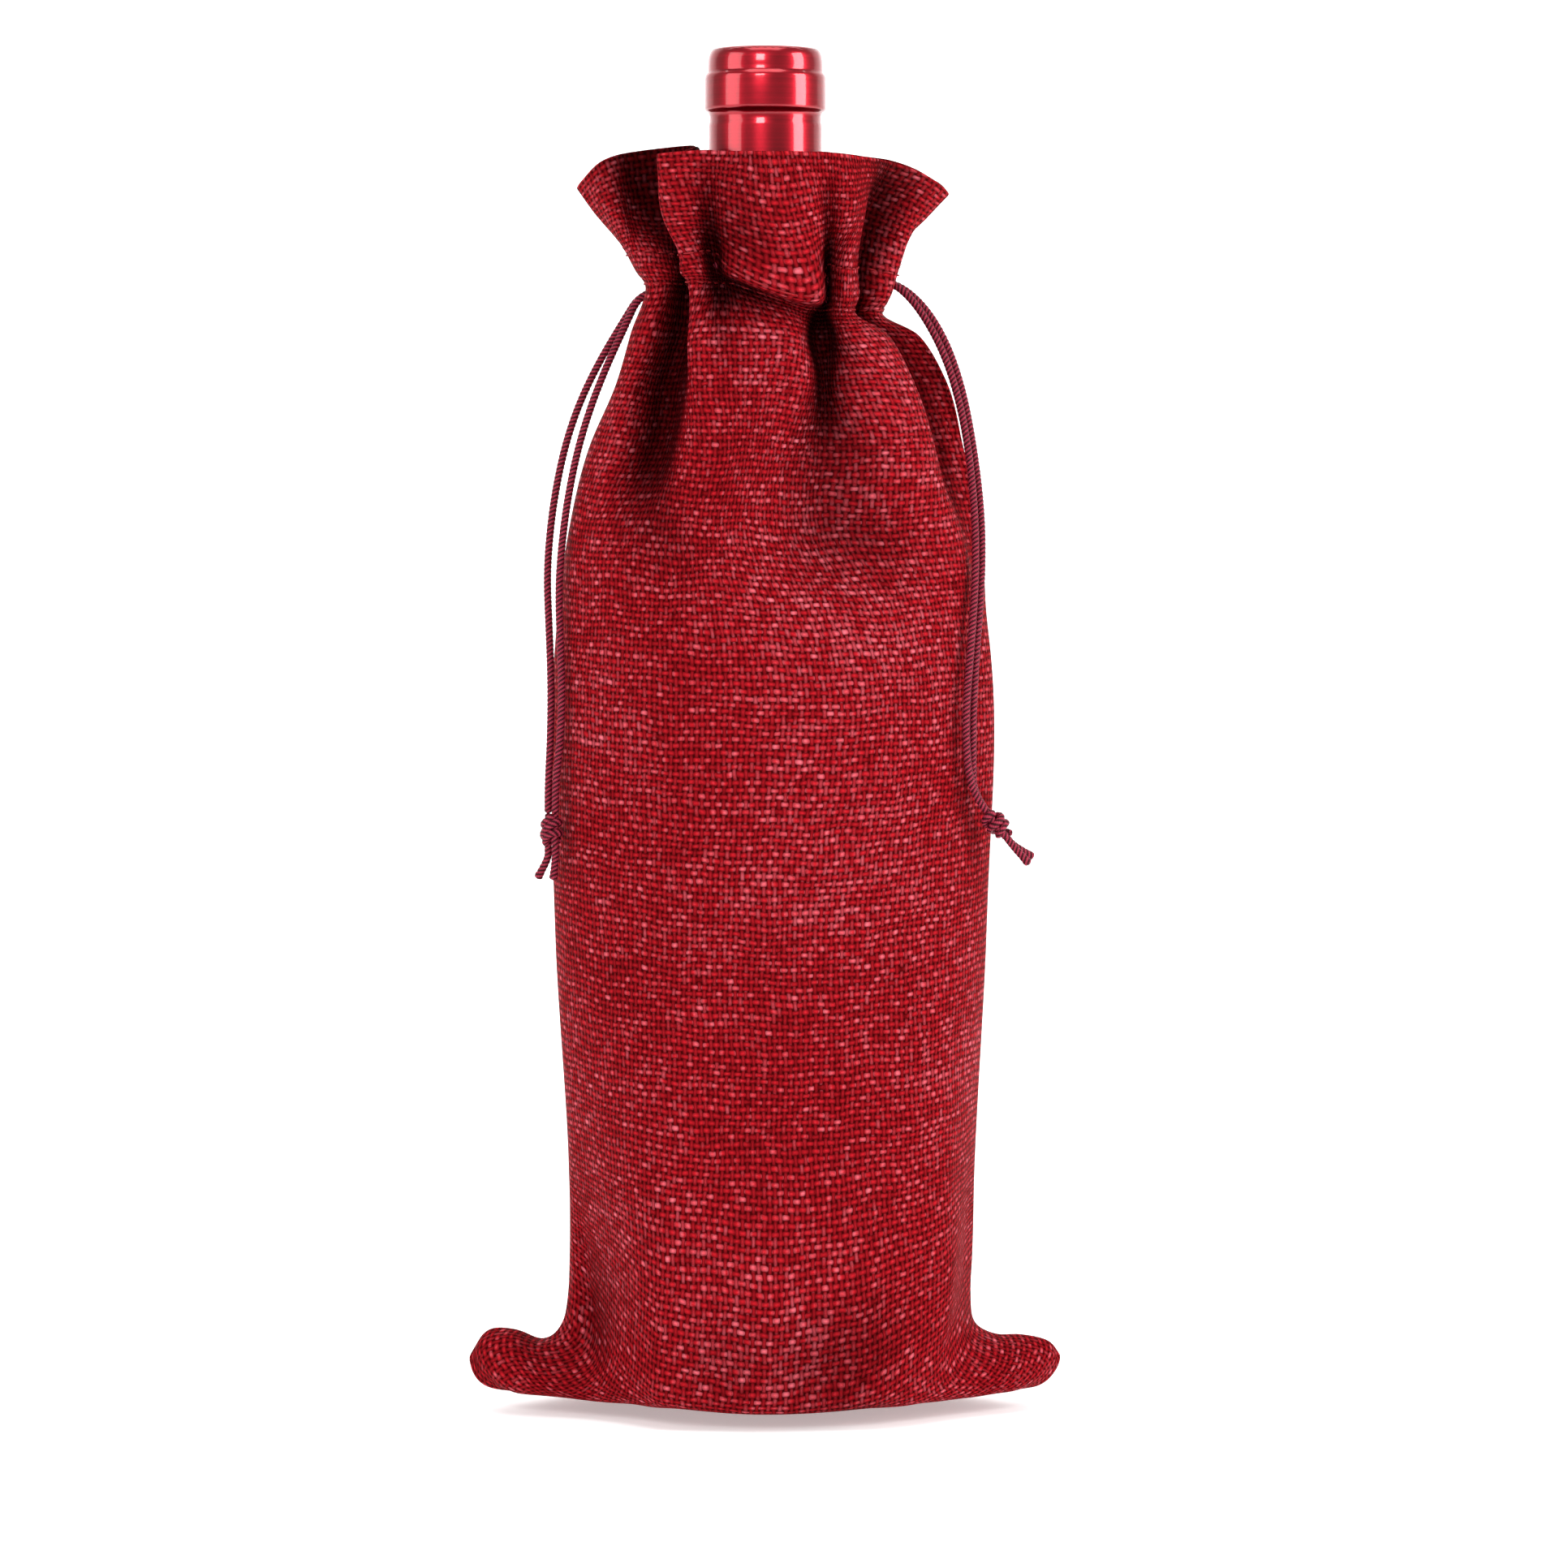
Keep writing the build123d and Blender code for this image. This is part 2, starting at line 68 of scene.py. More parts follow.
# Plan outlines of the front cloth, from the left side seam to the right one, in five runs. Each of the
# first four runs ends in the bottom of the same fold at every height.
FRONT_MARKS = (0, 16, 30, 47, 65, 72)      # columns of the seams and of the four folds
FRONT_224 = [
    [(-50.8, 0), (-49.4, -12), (-43.5, -21.5), (-36, -26.6)],
    [(-28.5, -30), (-21.5, -33.4), (-13, -36.6)],
    [(0, -38.2), (14, -37.6)],
    [(27, -34.6), (38, -29.4), (46.8, -22.8), (50.2, -16)],
    [(50, -11), (51.6, -5), (55.6, 0)],
]
FRONT_245 = [
    [(-45.5, 0), (-44.8, -10), (-41, -17.5), (-36, -20.6), (-31.5, -18), (-28, -15)],
    [(-24.4, -18), (-21.4, -27), (-17, -32.4), (-10, -34)],
    [(0, -35.5), (8, -35.6), (14.4, -33.6)],
    [(20, -33.2), (27, -32.2), (35, -29), (41.8, -23.4), (43.4, -16.6), (41.2, -10)],
    [(41.8, -5), (45.6, -2.4), (51.2, 1)],
]
FRONT_262 = [
    [(-37.4, 0), (-38, -9), (-36, -15.6), (-32.4, -16.6), (-29, -12), (-24.8, -7.4)],
    [(-21.4, -10.4), (-19.6, -18), (-19.4, -25), (-16.5, -29), (-11, -28.8)],
    [(-3, -31.4), (5, -32.2), (10.6, -30.8), (13, -25), (14.6, -19)],
    [(16.6, -24), (20, -29), (27, -28), (34, -23.6), (37.8, -17.6), (37, -11.6), (34, -6)],
    [(35, -2.4), (39.6, -0.6), (46.6, 2)],
]
FRONT_274 = [
    [(-33.6, 0), (-34.6, -8.5), (-32.4, -15.8), (-28.4, -17), (-24.8, -11), (-21, -5.6)],
    [(-18.8, -9.6), (-19, -19), (-19.6, -25.4), (-15.8, -28), (-11.4, -25)],
    [(-7, -28.2), (1, -30), (8, -29), (10.2, -22), (12.6, -10)],
    [(16.8, -11), (18, -20), (21.4, -25.6), (26.4, -23.4), (30.4, -18), (31, -12), (27.4, -6)],
    [(28.6, -3.4), (33, -1.6), (39.4, 1)],
]
FRONT_CORD = [
    [(-30.2, 0), (-31, -8), (-29.4, -14.6), (-24.6, -15), (-19.8, -3.5)],
    [(-17.8, -7), (-18.6, -16), (-20.2, -23.5), (-15.8, -24.5), (-11.6, -11)],
    [(-8.6, -16), (-3, -18), (5, -18.4), (11, -17.6), (13, -14), (14.8, -8)],
    [(16.6, -16), (20.2, -21.5), (22.8, -14.5), (21.8, -5)],
    [(25.6, -9.5), (29.4, -9.5), (30.2, 0)],
]
FRONT_CASING = [
    [(-31.6, 0), (-32.6, -8), (-30.4, -16), (-24, -17.6), (-19.2, -6.5)],
    [(-17.8, -9), (-18.6, -17), (-22, -26.2), (-16.4, -28.2), (-12, -13.6)],
    [(-10.2, -24), (-4.4, -30.4), (5, -31.6), (13.4, -30), (15.2, -20), (15.6, -8.5)],
    [(17, -17.5), (20.6, -23.6), (23.8, -15), (22.4, -5.6)],
    [(26.4, -10.6), (31, -10.4), (31.4, 0)],
]
FRONT_WAIST = [
    [(-35, -1), (-35.4, -7), (-31.6, -13), (-26, -12), (-19, -4)],
    [(-17, -8), (-18.4, -17), (-22.6, -25.4), (-17.4, -27), (-13, -15.5)],
    [(-10, -25), (-3.4, -29), (5, -30), (12.4, -28.4), (14.8, -20), (15.8, -10)],
    [(17.2, -18), (20.6, -22.6), (23.6, -14.5), (23.4, -5)],
    [(28, -8.6), (33.4, -8), (35.4, -1)],
]
FRONT_303 = [
    [(-43.4, -1), (-39.6, -9), (-36.4, -10), (-34, -3), (-28.4, 0.6), (-22, -1), (-18.2, -8)],
    [(-20.2, -17), (-24.6, -25), (-26.6, -30), (-21.8, -33.4), (-17.4, -32), (-14.2, -26.5)],
    [(-10.4, -32.6), (-2, -34.6), (8, -34), (13.4, -31), (16, -24.6)],
    [(18.6, -28.6), (22.4, -28.6), (25.4, -20), (25.2, -6)],
    [(30, -4.6), (36.6, -7), (42.4, -2)],
]
FRONT_RIM = [
    [(-49, -1, 311.6), (-43.4, -9, 317.2), (-38.6, -11.4, 319.2), (-34.6, -6, 320.4), (-27.4, -5, 321.4),
     (-18.4, -13, 321.8)],
    [(-21.4, -24, 319.8), (-27.8, -34, 318.4), (-22, -37.4, 318.8), (-15, -38.2, 318.9)],
    [(-4, -38.6, 318.9), (6, -38.4, 318.9), (15, -36.6, 318.6)],
    [(21, -34.2, 318.4), (27, -29, 317.6), (32, -22.4, 316.8)],
    [(38, -17, 315.2), (43.4, -10.4, 313), (47.6, -3, 309.8)],
]
BACK_CORD = [
    (30.2, 0), (29.5, 9), (25, 14.5), (20.5, 8.5), (19.5, 16.5), (16.5, 22.8), (11.5, 22.8), (9.6, 13),
    (6.4, 21.5), (1.5, 25.5), (-4.4, 25.2), (-6.2, 14.5), (-9.6, 22.8), (-14.6, 23.6), (-17.4, 17),
    (-16.4, 9), (-21, 14.2), (-26.6, 14.6), (-24.4, 6.5), (-29, 6.8), (-30.2, 0),
]
BACK_303 = [
    (42, -2), (39.5, 6), (33, 12), (26.5, 14), (22, 20), (17, 28.5), (9, 30.5), (1, 28), (-5, 24.5),
    (-11, 26), (-17, 29.4), (-23, 27.5), (-27.5, 20), (-32, 14.5), (-38.5, 8), (-43.6, -1),
]
BACK_RIM = [
    (47.6, -3, 309.8), (45, 9, 313.4), (38, 17, 317), (30, 19.6, 319.6), (24, 26, 320.6), (18, 34.6, 321),
    (8, 38.2, 321), (-2, 34, 321.2), (-10, 30.6, 321.2), (-18, 35, 321), (-27, 34.4, 320.6), (-34, 26, 319.4),
    (-38.4, 18, 317.8), (-44.4, 9, 315), (-49, -1, 311.6),
]
LEVELLING = 60             # passes that level the rows of the weave round the body
LEVEL_SHARE = 0.55         # how far the rows are then drawn level
RUFFLE_LEVELLING = 8       # passes for the rows of the ruffle
# The base and its two ears: place up the cloth, then the front from the left seam to the middle, and
# from the middle to the right seam.
BASE_ROWS = [
    (0,
     [(-77.2, 0, 6.2), (-76.4, -0.4, 3.6), (-73.4, -0.8, 1.6), (-68, -0.9, 0.8), (-60, -0.6, 0.2),
      (-40, 0, 0.15), (0, 0, 0.15)],
     [(0, 0, 0.15), (40, 0, 0.15), (60, -0.6, 0.2), (68, -0.9, 0.7), (73, -0.8, 1.7), (76.4, -0.4, 4),
      (77, 0, 6)]),
    (8,
     [(-72, 0, 13.4), (-74, -2.8, 10.4), (-73.2, -5, 6), (-69, -7, 2.6), (-62, -8, 0.8), (-48, -8.2, 0.15),
      (0, -8, 0.15)],
     [(0, -8, 0.15), (48, -8.2, 0.15), (62, -8, 0.8), (69, -6.6, 2.4), (73.4, -4.4, 5.4), (74.6, -2.4, 8),
      (73.4, 0, 10)]),
    (16,
     [(-64.4, 0, 13.8), (-66.4, -4.4, 12.2), (-65.8, -8.4, 8), (-62, -12, 3.8), (-55.6, -14.8, 1.3),
      (-44, -16.2, 0.2), (0, -16, 0.15)],
     [(0, -16, 0.15), (45, -16.2, 0.2), (57, -14.4, 1.2), (64, -10.6, 3.6), (67, -7, 7), (67.6, -3.6, 10),
      (66.2, 0, 11.8)]),
    (24,
     [(-57.4, 0, 12.2), (-58.4, -5, 11), (-57.2, -10, 8), (-53.6, -15.6, 4.8), (-47.6, -20.8, 2),
      (-36, -24, 0.3), (0, -24, 0.15)],
     [(0, -24, 0.15), (37, -24, 0.3), (49.4, -21, 1.6), (56.4, -15, 4.4), (60, -9.6, 7.8), (60.8, -4.8, 11),
      (59.4, 0, 13)]),
    (32,
     [(-53, 0, 17.4), (-51.2, -5.2, 14.4), (-47.6, -8.6, 11.6), (-44.8, -14.6, 9), (-40.4, -25.4, 4.6),
      (-31, -31.2, 1.2), (-22, -32, 0.4), (0, -32.2, 0.15)],
     [(0, -32.2, 0.15), (30, -31.6, 0.6), (40.6, -29, 2.6), (46.6, -23.8, 6), (51.2, -15, 11),
      (53.6, -7.4, 14.8), (54.4, 0, 17.2)]),
    (40,
     [(-51.6, 0, 25.4), (-49.6, -5, 24.2), (-45.2, -6.8, 21.6), (-43, -12, 18.6), (-38, -25, 11.4),
      (-31, -34.8, 5.6), (-24.6, -38.4, 2.8), (0, -41, 0.5)],
     [(0, -41, 0.5), (26, -38, 2.6), (37, -33.4, 7.6), (44.8, -27.4, 12.4), (48.8, -17, 19),
      (51.2, -9, 22.8), (53.6, 0, 25)]),
    (49,
     [(-51.2, 0, 34.4), (-49.8, -5.4, 33.2), (-46, -7.6, 31), (-43.4, -12.8, 28), (-36.6, -26, 20),
      (-30, -35.6, 14.4), (-24, -38.6, 11.6), (0, -40.2, 8.6)],
     [(0, -40.2, 8.6), (23, -38.4, 11.6), (36, -33.9, 16.6), (45.8, -27.2, 22), (49.4, -17.6, 28),
      (51.2, -9, 32.2), (54, 0, 34)]),
]
FRONT_62 = [
    (-51.4, 0), (-50.2, -8), (-46.6, -15), (-40, -25.6), (-32, -34.2), (-24, -37.8), (-10, -38.9),
    (10, -38.9), (26, -37.2), (38, -32), (46.4, -25.2), (50.6, -16), (52.8, -8), (54.6, 0),
]
EAR_START = 46             # from the middle, where the ears begin to turn forwards
EAR_TURN = 24              # along which they turn
LEFT_EAR_FORWARD = 7.0
RIGHT_EAR_FORWARD = 3.0
EAR_SWELL = 0.9            # share by which the ears' tops swell
CORD_SAG = 0.36            # how steeply the cord line falls to the right across the front
CORD_Z = 285.4
CASING_Z = 287.2
WAIST_Z = 293.4
SOFT_WAVES = [             # height of a slow wave in the body's cloth, then its run across, up, and its start
    (0.55, 0.071, 0.045, 0.9), (0.45, 0.16, -0.021, 2.0), (0.3, 0.05, 0.11, 0.0),
]

# --- sewing, in millimetres -----------------------------------------------------------------------
THREAD = 0.5
THREAD_LIFT = 0.16
STITCH_STEP = 4.0
STITCH_LENGTH = 2.6
SEAM_INSET = 2.2           # from the side seam to its rows of stitches
CASING_INSET = 0.6         # from the channel to its rows of stitches
TACK_THREADS = 3
TACK_STEP = 0.45
TACK_RISE = 3.5            # upper tacks above the channel, to stay clear of a swinging cord
LINING_GAP = 1.05          # from the outer face of the panel to a layer lying inside it

# --- cords: the same routes as the CAD tubes, in metres --------------------------------------------
CORD_RADIUS = 0.001
SPLIT = 0.00122
KNOT_LENGTH = 0.0094
PULLS = {
    "left": {
        "top": (-0.05465, -0.01655, 0.1518), "way": (0, 0, -1), "split": (-0.78, 0.62, 0), "run": 0.0066,
        "leans": [(-0.0004, -0.0010, 0), (-0.0022, 0.0004, 0)],
    },
    "right": {
        "top": (0.0563, -0.0190, 0.1525), "way": (0.6, 0.15, -0.785), "split": (0, 1, 0), "run": 0.0050,
        "leans": [(0.0006, -0.0014, -0.0002), (0.0018, 0.0009, 0.0006)],
    },
}
STRANDS = {
    "left_back_strand": {
        "side": "left", "sign": 1, "length": 0.139,
        "route": [
            (-0.0322, 0.0014, 0.2846), (-0.0369, 0.0012, 0.2770), (-0.0423, 0.0006, 0.2680),
            (-0.0472, -0.0004, 0.2582), (-0.0509, -0.0016, 0.2480), (-0.0535, -0.0030, 0.2370),
            (-0.0553, -0.0046, 0.2250), (-0.0562, -0.0064, 0.2120), (-0.0555, -0.0090, 0.1980),
            (-0.0549, -0.0118, 0.1842), (-0.0550, -0.0140, 0.1704),
        ],
    },
    "left_front_strand": {
        "side": "left", "sign": -1, "length": 0.137,
        "route": [
            (-0.0322, -0.0014, 0.2846), (-0.0362, -0.0030, 0.2758), (-0.0406, -0.0050, 0.2662),
            (-0.0446, -0.0070, 0.2560), (-0.0479, -0.0088, 0.2452), (-0.0503, -0.0104, 0.2338),
            (-0.0520, -0.0120, 0.2216), (-0.0529, -0.0138, 0.2086), (-0.0524, -0.0150, 0.1950),
            (-0.0519, -0.0159, 0.1814), (-0.0525, -0.0168, 0.1690),
        ],
    },
    "right_back_strand": {
        "side": "right", "sign": 1, "length": 0.145,
        "route": [
            (0.0322, 0.0014, 0.2876), (0.0376, 0.0009, 0.2846), (0.0428, 0.0000, 0.2788),
            (0.0472, -0.0014, 0.2706), (0.0506, -0.0032, 0.2602), (0.0528, -0.0050, 0.2492),
            (0.0544, -0.0076, 0.2380), (0.0554, -0.0110, 0.2270), (0.0555, -0.0140, 0.2160),
            (0.0549, -0.0162, 0.2050), (0.0540, -0.0177, 0.1940), (0.0533, -0.0188, 0.1830),
            (0.0530, -0.0193, 0.1732), (0.0530, -0.0190, 0.1646),
        ],
    },
    "right_front_strand": {
        "side": "right", "sign": -1, "length": 0.144,
        "route": [
            (0.0322, -0.0014, 0.2876), (0.0372, -0.0026, 0.2836), (0.0420, -0.0042, 0.2768),
            (0.0464, -0.0060, 0.2678), (0.0496, -0.0078, 0.2574), (0.0517, -0.0104, 0.2466),
            (0.0530, -0.0126, 0.2356), (0.0537, -0.0152, 0.2246), (0.0537, -0.0176, 0.2136),
            (0.0531, -0.0194, 0.2026), (0.0522, -0.0210, 0.1914), (0.0513, -0.0220, 0.1802),
            (0.0512, -0.0222, 0.1700), (0.0518, -0.0218, 0.1626),
        ],
    },
}

# --- what one operator leaves for the next --------------------------------------------------------
made = {}


# ==================================================================================================
# Settings
# ==================================================================================================
class GIFTBAG_PG_cloth(PropertyGroup):
    """Sizes and colours of the woven cloth"""

    warp_pitch: FloatProperty(
        name="Warp pitch", description="Distance from one upright yarn to the next", default=0.00136,
        min=0.0002, unit="LENGTH", precision=5)
    weft_pitch: FloatProperty(
        name="Weft pitch", description="Distance from one level yarn to the next", default=0.00174,
        min=0.0002, unit="LENGTH", precision=5)
    thickness: FloatProperty(
        name="Cloth thickness", description="Thickness of one layer of cloth", default=0.0008,
        min=0.0001, unit="LENGTH", precision=5)
    dark: FloatVectorProperty(
        name="Dark yarn", description="Colour of the darkest slubs", subtype="COLOR",
        default=(0.085, 0.0008, 0.0016), min=0, max=1)
    mid: FloatVectorProperty(
        name="Main yarn", description="Colour of most of the yarn", subtype="COLOR",
        default=(0.375, 0.008, 0.014), min=0, max=1)
    # The bright yarn is partly the slubs' own colour and partly painted glints on the yarn.
    bright: FloatVectorProperty(
        name="Bright yarn", description="Colour of the brightest slubs", subtype="COLOR",
        default=(0.74, 0.15, 0.19), min=0, max=1)


class GIFTBAG_PG_cord(PropertyGroup):
    """Sizes and colours of the drawstrings"""

    lay_length: FloatProperty(
        name="Lay length", description="Length of one turn of the cord's strands", default=0.0034,
        min=0.001, unit="LENGTH", precision=4)
    colour: FloatVectorProperty(
        name="Cord colour", description="Colour of the drawstrings", subtype="COLOR",
        default=(0.14, 0.006, 0.018), min=0, max=1)


class GIFTBAG_PG_bottle(PropertyGroup):
    """Finishes of the bottle"""

    foil_colour: FloatVectorProperty(
        name="Foil colour", description="Colour of the capsule's metallic foil", subtype="COLOR",
        default=(0.46, 0.004, 0.017), min=0, max=1)
    foil_roughness: FloatProperty(
        name="Foil roughness", description="How soft the foil's reflections are", default=0.31,
        min=0, max=1, subtype="FACTOR")


class GIFTBAG_PG_stage(PropertyGroup):
    """Camera and light"""

    lens: FloatProperty(
        name="Lens", description="Focal length on a 36 mm sensor, in millimetres", default=125.5, min=10)
    distance: FloatProperty(
        name="Distance", description="Camera's distance in front of the bag", default=1.413,
        min=0.1, unit="LENGTH")
    height: FloatProperty(
        name="Height", description="Camera's height over the floor", default=0.2407, unit="LENGTH")
    tilt: FloatProperty(
        name="Tilt", description="How far the camera looks down", default=math.radians(3.35),
        subtype="ANGLE")
    key_power: FloatProperty(
        name="Key light", description="Power of the main softbox", default=13, min=0, unit="POWER")


# ==================================================================================================
# Material helpers
# ==================================================================================================
class Graph:
    """A material's node tree, with short calls for the nodes used here."""

    def __init__(self, name):
        self.material = bpy.data.materials.new(name)
        self.material.use_nodes = True
        self.tree = self.material.node_tree
        self.shader = self.tree.nodes["Principled BSDF"]
        self.coords = self.tree.nodes.new("ShaderNodeTexCoord")

    def set(self, **values):
        for name, value in values.items():
            self.shader.inputs[name.replace("_", " ")].default_value = value

    def plug(self, socket, value):
        if isinstance(value, bpy.types.NodeSocket):
            self.tree.links.new(value, socket)
        else:
            socket.default_value = value

    def calc(self, operation, a, b=0.0, clamp=False):
        node = self.tree.nodes.new("ShaderNodeMath")
        node.operation = operation
        node.use_clamp = clamp
        self.plug(node.inputs[0], a)
        self.plug(node.inputs[1], b)
        return node.outputs[0]

    def spread(self, value, low, high, to_low=0.0, to_high=1.0):
        node = self.tree.nodes.new("ShaderNodeMapRange")
        names = ("Value", "From Min", "From Max", "To Min", "To Max")
        for name, v in zip(names, (value, low, high, to_low, to_high)):
            self.plug(node.inputs[name], v)
        return node.outputs[0]

    def vector(self, x, y, z=0.0):
        node = self.tree.nodes.new("ShaderNodeCombineXYZ")
        for socket, v in zip(node.inputs, (x, y, z)):
            self.plug(socket, v)
        return node.outputs[0]

    def split(self, vector):
        node = self.tree.nodes.new("ShaderNodeSeparateXYZ")
        self.plug(node.inputs[0], vector)
        return node.outputs

    def noise(self, vector, scale, detail=2.0, roughness=0.5):
        node = self.tree.nodes.new("ShaderNodeTexNoise")
        self.plug(node.inputs["Vector"], vector)
        node.inputs["Scale"].default_value = scale
        node.inputs["Detail"].default_value = detail
        node.inputs["Roughness"].default_value = roughness
        return node.outputs["Fac"]

    def attribute(self, name):
        node = self.tree.nodes.new("ShaderNodeAttribute")
        node.attribute_name = name
        return node.outputs["Fac"]

    def ramp(self, value, stops):
        node = self.tree.nodes.new("ShaderNodeValToRGB")
        elements = node.color_ramp.elements
        while len(elements) < len(stops):
            elements.new(0.5)
        for element, (position, colour) in zip(elements, stops):
            element.position = position
            element.color = (*colour, 1)
        self.plug(node.inputs[0], value)
        return node.outputs[0]

    def mix(self, share, a, b, blend="MIX"):
        node = self.tree.nodes.new("ShaderNodeMix")
        node.data_type = "RGBA"
        node.blend_type = blend
        self.plug(node.inputs[0], share)
        for socket, v in ((node.inputs[6], a), (node.inputs[7], b)):
            self.plug(socket, v if isinstance(v, bpy.types.NodeSocket) else (*v, 1))
        return node.outputs[2]

    def bump(self, height, distance, strength=1.0):
        node = self.tree.nodes.new("ShaderNodeBump")
        node.inputs["Distance"].default_value = distance
        node.inputs["Strength"].default_value = strength
        self.plug(node.inputs["Height"], height)
        self.tree.links.new(node.outputs[0], self.shader.inputs["Normal"])

    def colour(self, value):
        self.plug(self.shader.inputs["Base Color"], value)


def woven_cloth(settings):
    """Coarse plain weave: two sets of slubby yarns that pass over and under each other, with painted highlights
    on the yarn crowns, painted shade in the gaps between yarns and painted shade in the bag's deep folds.
    """
    g = Graph("woven_cloth")
    flat = g.split(g.coords.outputs["UV"])
    drift = g.noise(g.coords.outputs["UV"], 55, 2)
    sway = g.noise(g.coords.outputs["UV"], 420, 1)
    across = g.calc("ADD", g.calc("DIVIDE", flat[0], settings.warp_pitch), g.spread(drift, 0, 1, -0.8, 0.8))
    along = g.calc("ADD", g.calc("DIVIDE", flat[1], settings.weft_pitch), g.spread(drift, 0, 1, 0.9, -0.9))
    across = g.calc("ADD", across, g.spread(sway, 0, 1, -0.16, 0.16))
    along = g.calc("ADD", along, g.spread(sway, 0, 1, 0.16, -0.16))
    column = g.calc("FLOOR", across)
    row = g.calc("FLOOR", along)
    in_column = g.calc("SUBTRACT", g.calc("FRACT", across), 0.5)
    in_row = g.calc("SUBTRACT", g.calc("FRACT", along), 0.5)
    round_column = g.calc("COSINE", g.calc("MULTIPLY", in_column, math.pi))
    round_row = g.calc("COSINE", g.calc("MULTIPLY", in_row, math.pi))
    over = g.calc("MODULO", g.calc("ABSOLUTE", g.calc("ADD", column, row)), 2)
    sign = g.spread(over, 0, 1, -1, 1)
    warp_wave = g.spread(g.calc("MULTIPLY", round_row, sign), -1, 1, 0, 1)
    weft_wave = g.spread(g.calc("MULTIPLY", round_column, sign), 1, -1, 0, 1)
    warp = g.calc("MULTIPLY", g.calc("POWER", round_column, 1.1), g.spread(warp_wave, 0, 1, 0.3, 0.94))
    weft = g.calc("MULTIPLY", g.calc("POWER", round_row, 1.3), g.spread(weft_wave, 0, 1, 0.3, 1))
    warp_seed = g.vector(g.calc("MULTIPLY", column, 7.31), g.calc("MULTIPLY", along, 0.34))
    weft_seed = g.vector(g.calc("MULTIPLY", across, 0.34), g.calc("MULTIPLY", row, 5.87), 9.0)
    is_warp = g.calc("GREATER_THAN", warp, weft)
    warp_tone = g.spread(g.noise(warp_seed, 1.0, 2, 0.6), 0, 1, 0.22, 0.78)
    tone = g.calc("ADD", g.calc("MULTIPLY", warp_tone, is_warp),
                  g.calc("MULTIPLY", g.noise(weft_seed, 1.0, 2, 0.6), g.calc("SUBTRACT", 1.0, is_warp)))
    height = g.calc("MAXIMUM", warp, weft)
    speck = g.noise(g.vector(column, row, is_warp), 3.7, 0)
    fibre = g.noise(g.vector(g.calc("MULTIPLY", across, 3.1), g.calc("MULTIPLY", along, 3.1)), 2.6, 3, 0.7)
    cloud = g.noise(g.coords.outputs["UV"], 14, 3, 0.55)
    tone = g.calc("ADD", tone, g.spread(speck, 0.2, 0.8, -0.07, 0.07))
    tone = g.calc("ADD", tone, g.spread(fibre, 0, 1, -0.14, 0.14))
    tone = g.calc("ADD", tone, g.spread(cloud, 0.3, 0.7, -0.06, 0.06))
    dark, mid, bright = (tuple(c) for c in (settings.dark, settings.mid, settings.bright))
    between = tuple(0.45 * a + 0.55 * b for a, b in zip(dark, mid))
    # The yarn's tone by random slubs; its brightest stop is partly the slubs' own colour and partly painted
    # glints on the yarn.
    yarn = g.ramp(tone, [(0.20, dark), (0.34, between), (0.50, mid), (0.84, bright)])
    # Painted highlight and shade: the yarn colour is lightened on each yarn's crown and darkened down its sides;
    # weft crowns are also made lighter than warp crowns.
    peak = g.calc("POWER", g.spread(height, 0.2, 1.0, 0.0, 1.0), 2.0)
    crown_shading = g.calc("MULTIPLY", g.spread(peak, 0.0, 1.0, 0.54, 1.3), g.spread(is_warp, 0, 1, 1.16, 0.8))
    yarn = g.mix(1.0, yarn, g.vector(crown_shading, crown_shading, crown_shading), "MULTIPLY")
    # Painted shade: where the yarns dip into the gaps between them, the colour goes to a darker copy of the dark
    # yarn.
    gap_shade = g.spread(height, 0.22, 0.5, 0, 1)
    # Painted shade: the colour is darkened down to a fifth in the deep folds at the base and the neck.
    lit = g.spread(g.attribute("fold_shade"), 0.12, 0.88, 1.0, 0.2)
    cloth = g.mix(gap_shade, tuple(0.6 * c for c in dark), yarn)
    g.colour(g.mix(1.0, cloth, g.vector(lit, lit, lit), "MULTIPLY"))
    g.bump(g.calc("ADD", height, g.calc("MULTIPLY", fibre, 0.25)), 0.0007, 1.0)
    g.set(Roughness=0.6, Specular_IOR_Level=0.02, Specular_Tint=(1.0, 0.5, 0.55, 1))
    return g.material


def drawstring_cord(settings):
    """Smooth twisted filament cord with fine threads along its strands, with painted highlights on the strands
    and painted shade in the grooves between them.
    """
    g = Graph("drawstring_cord")
    flat = g.split(g.coords.outputs["UV"])
    turns = g.calc("SUBTRACT", flat[0], g.calc("DIVIDE", flat[1], settings.lay_length))
    # Painted highlight and shade: each strand's middle is painted pale and the grooves between strands painted
    # near black.
    strand = g.calc("ABSOLUTE", g.calc("COSINE", g.calc("MULTIPLY", turns, 3 * math.pi)))
    slant = g.calc("ADD", g.calc("MULTIPLY", flat[0], 60.0), g.calc("MULTIPLY", flat[1], 9000.0))
    threads = g.calc("SINE", slant)
    patch = g.noise(g.vector(flat[0], g.calc("MULTIPLY", flat[1], 160.0)), 6, 2)
    base = tuple(settings.colour)
    groove_shade = tuple(0.12 * c for c in base)
    pale = tuple(min(1, 2.9 * c + 0.02) for c in base)
    tone = g.calc("ADD", g.calc("MULTIPLY", strand, 0.62), g.spread(patch, 0, 1, -0.05, 0.2))
    tone = g.calc("ADD", tone, g.calc("MULTIPLY", threads, 0.06))
    g.colour(g.ramp(tone, [(0.26, groove_shade), (0.50, base), (0.78, pale)]))
    g.bump(threads, 0.00006, 0.5)
    g.set(Roughness=0.5, Specular_IOR_Level=0.22, Specular_Tint=(1.0, 0.6, 0.65, 1))
    return g.material


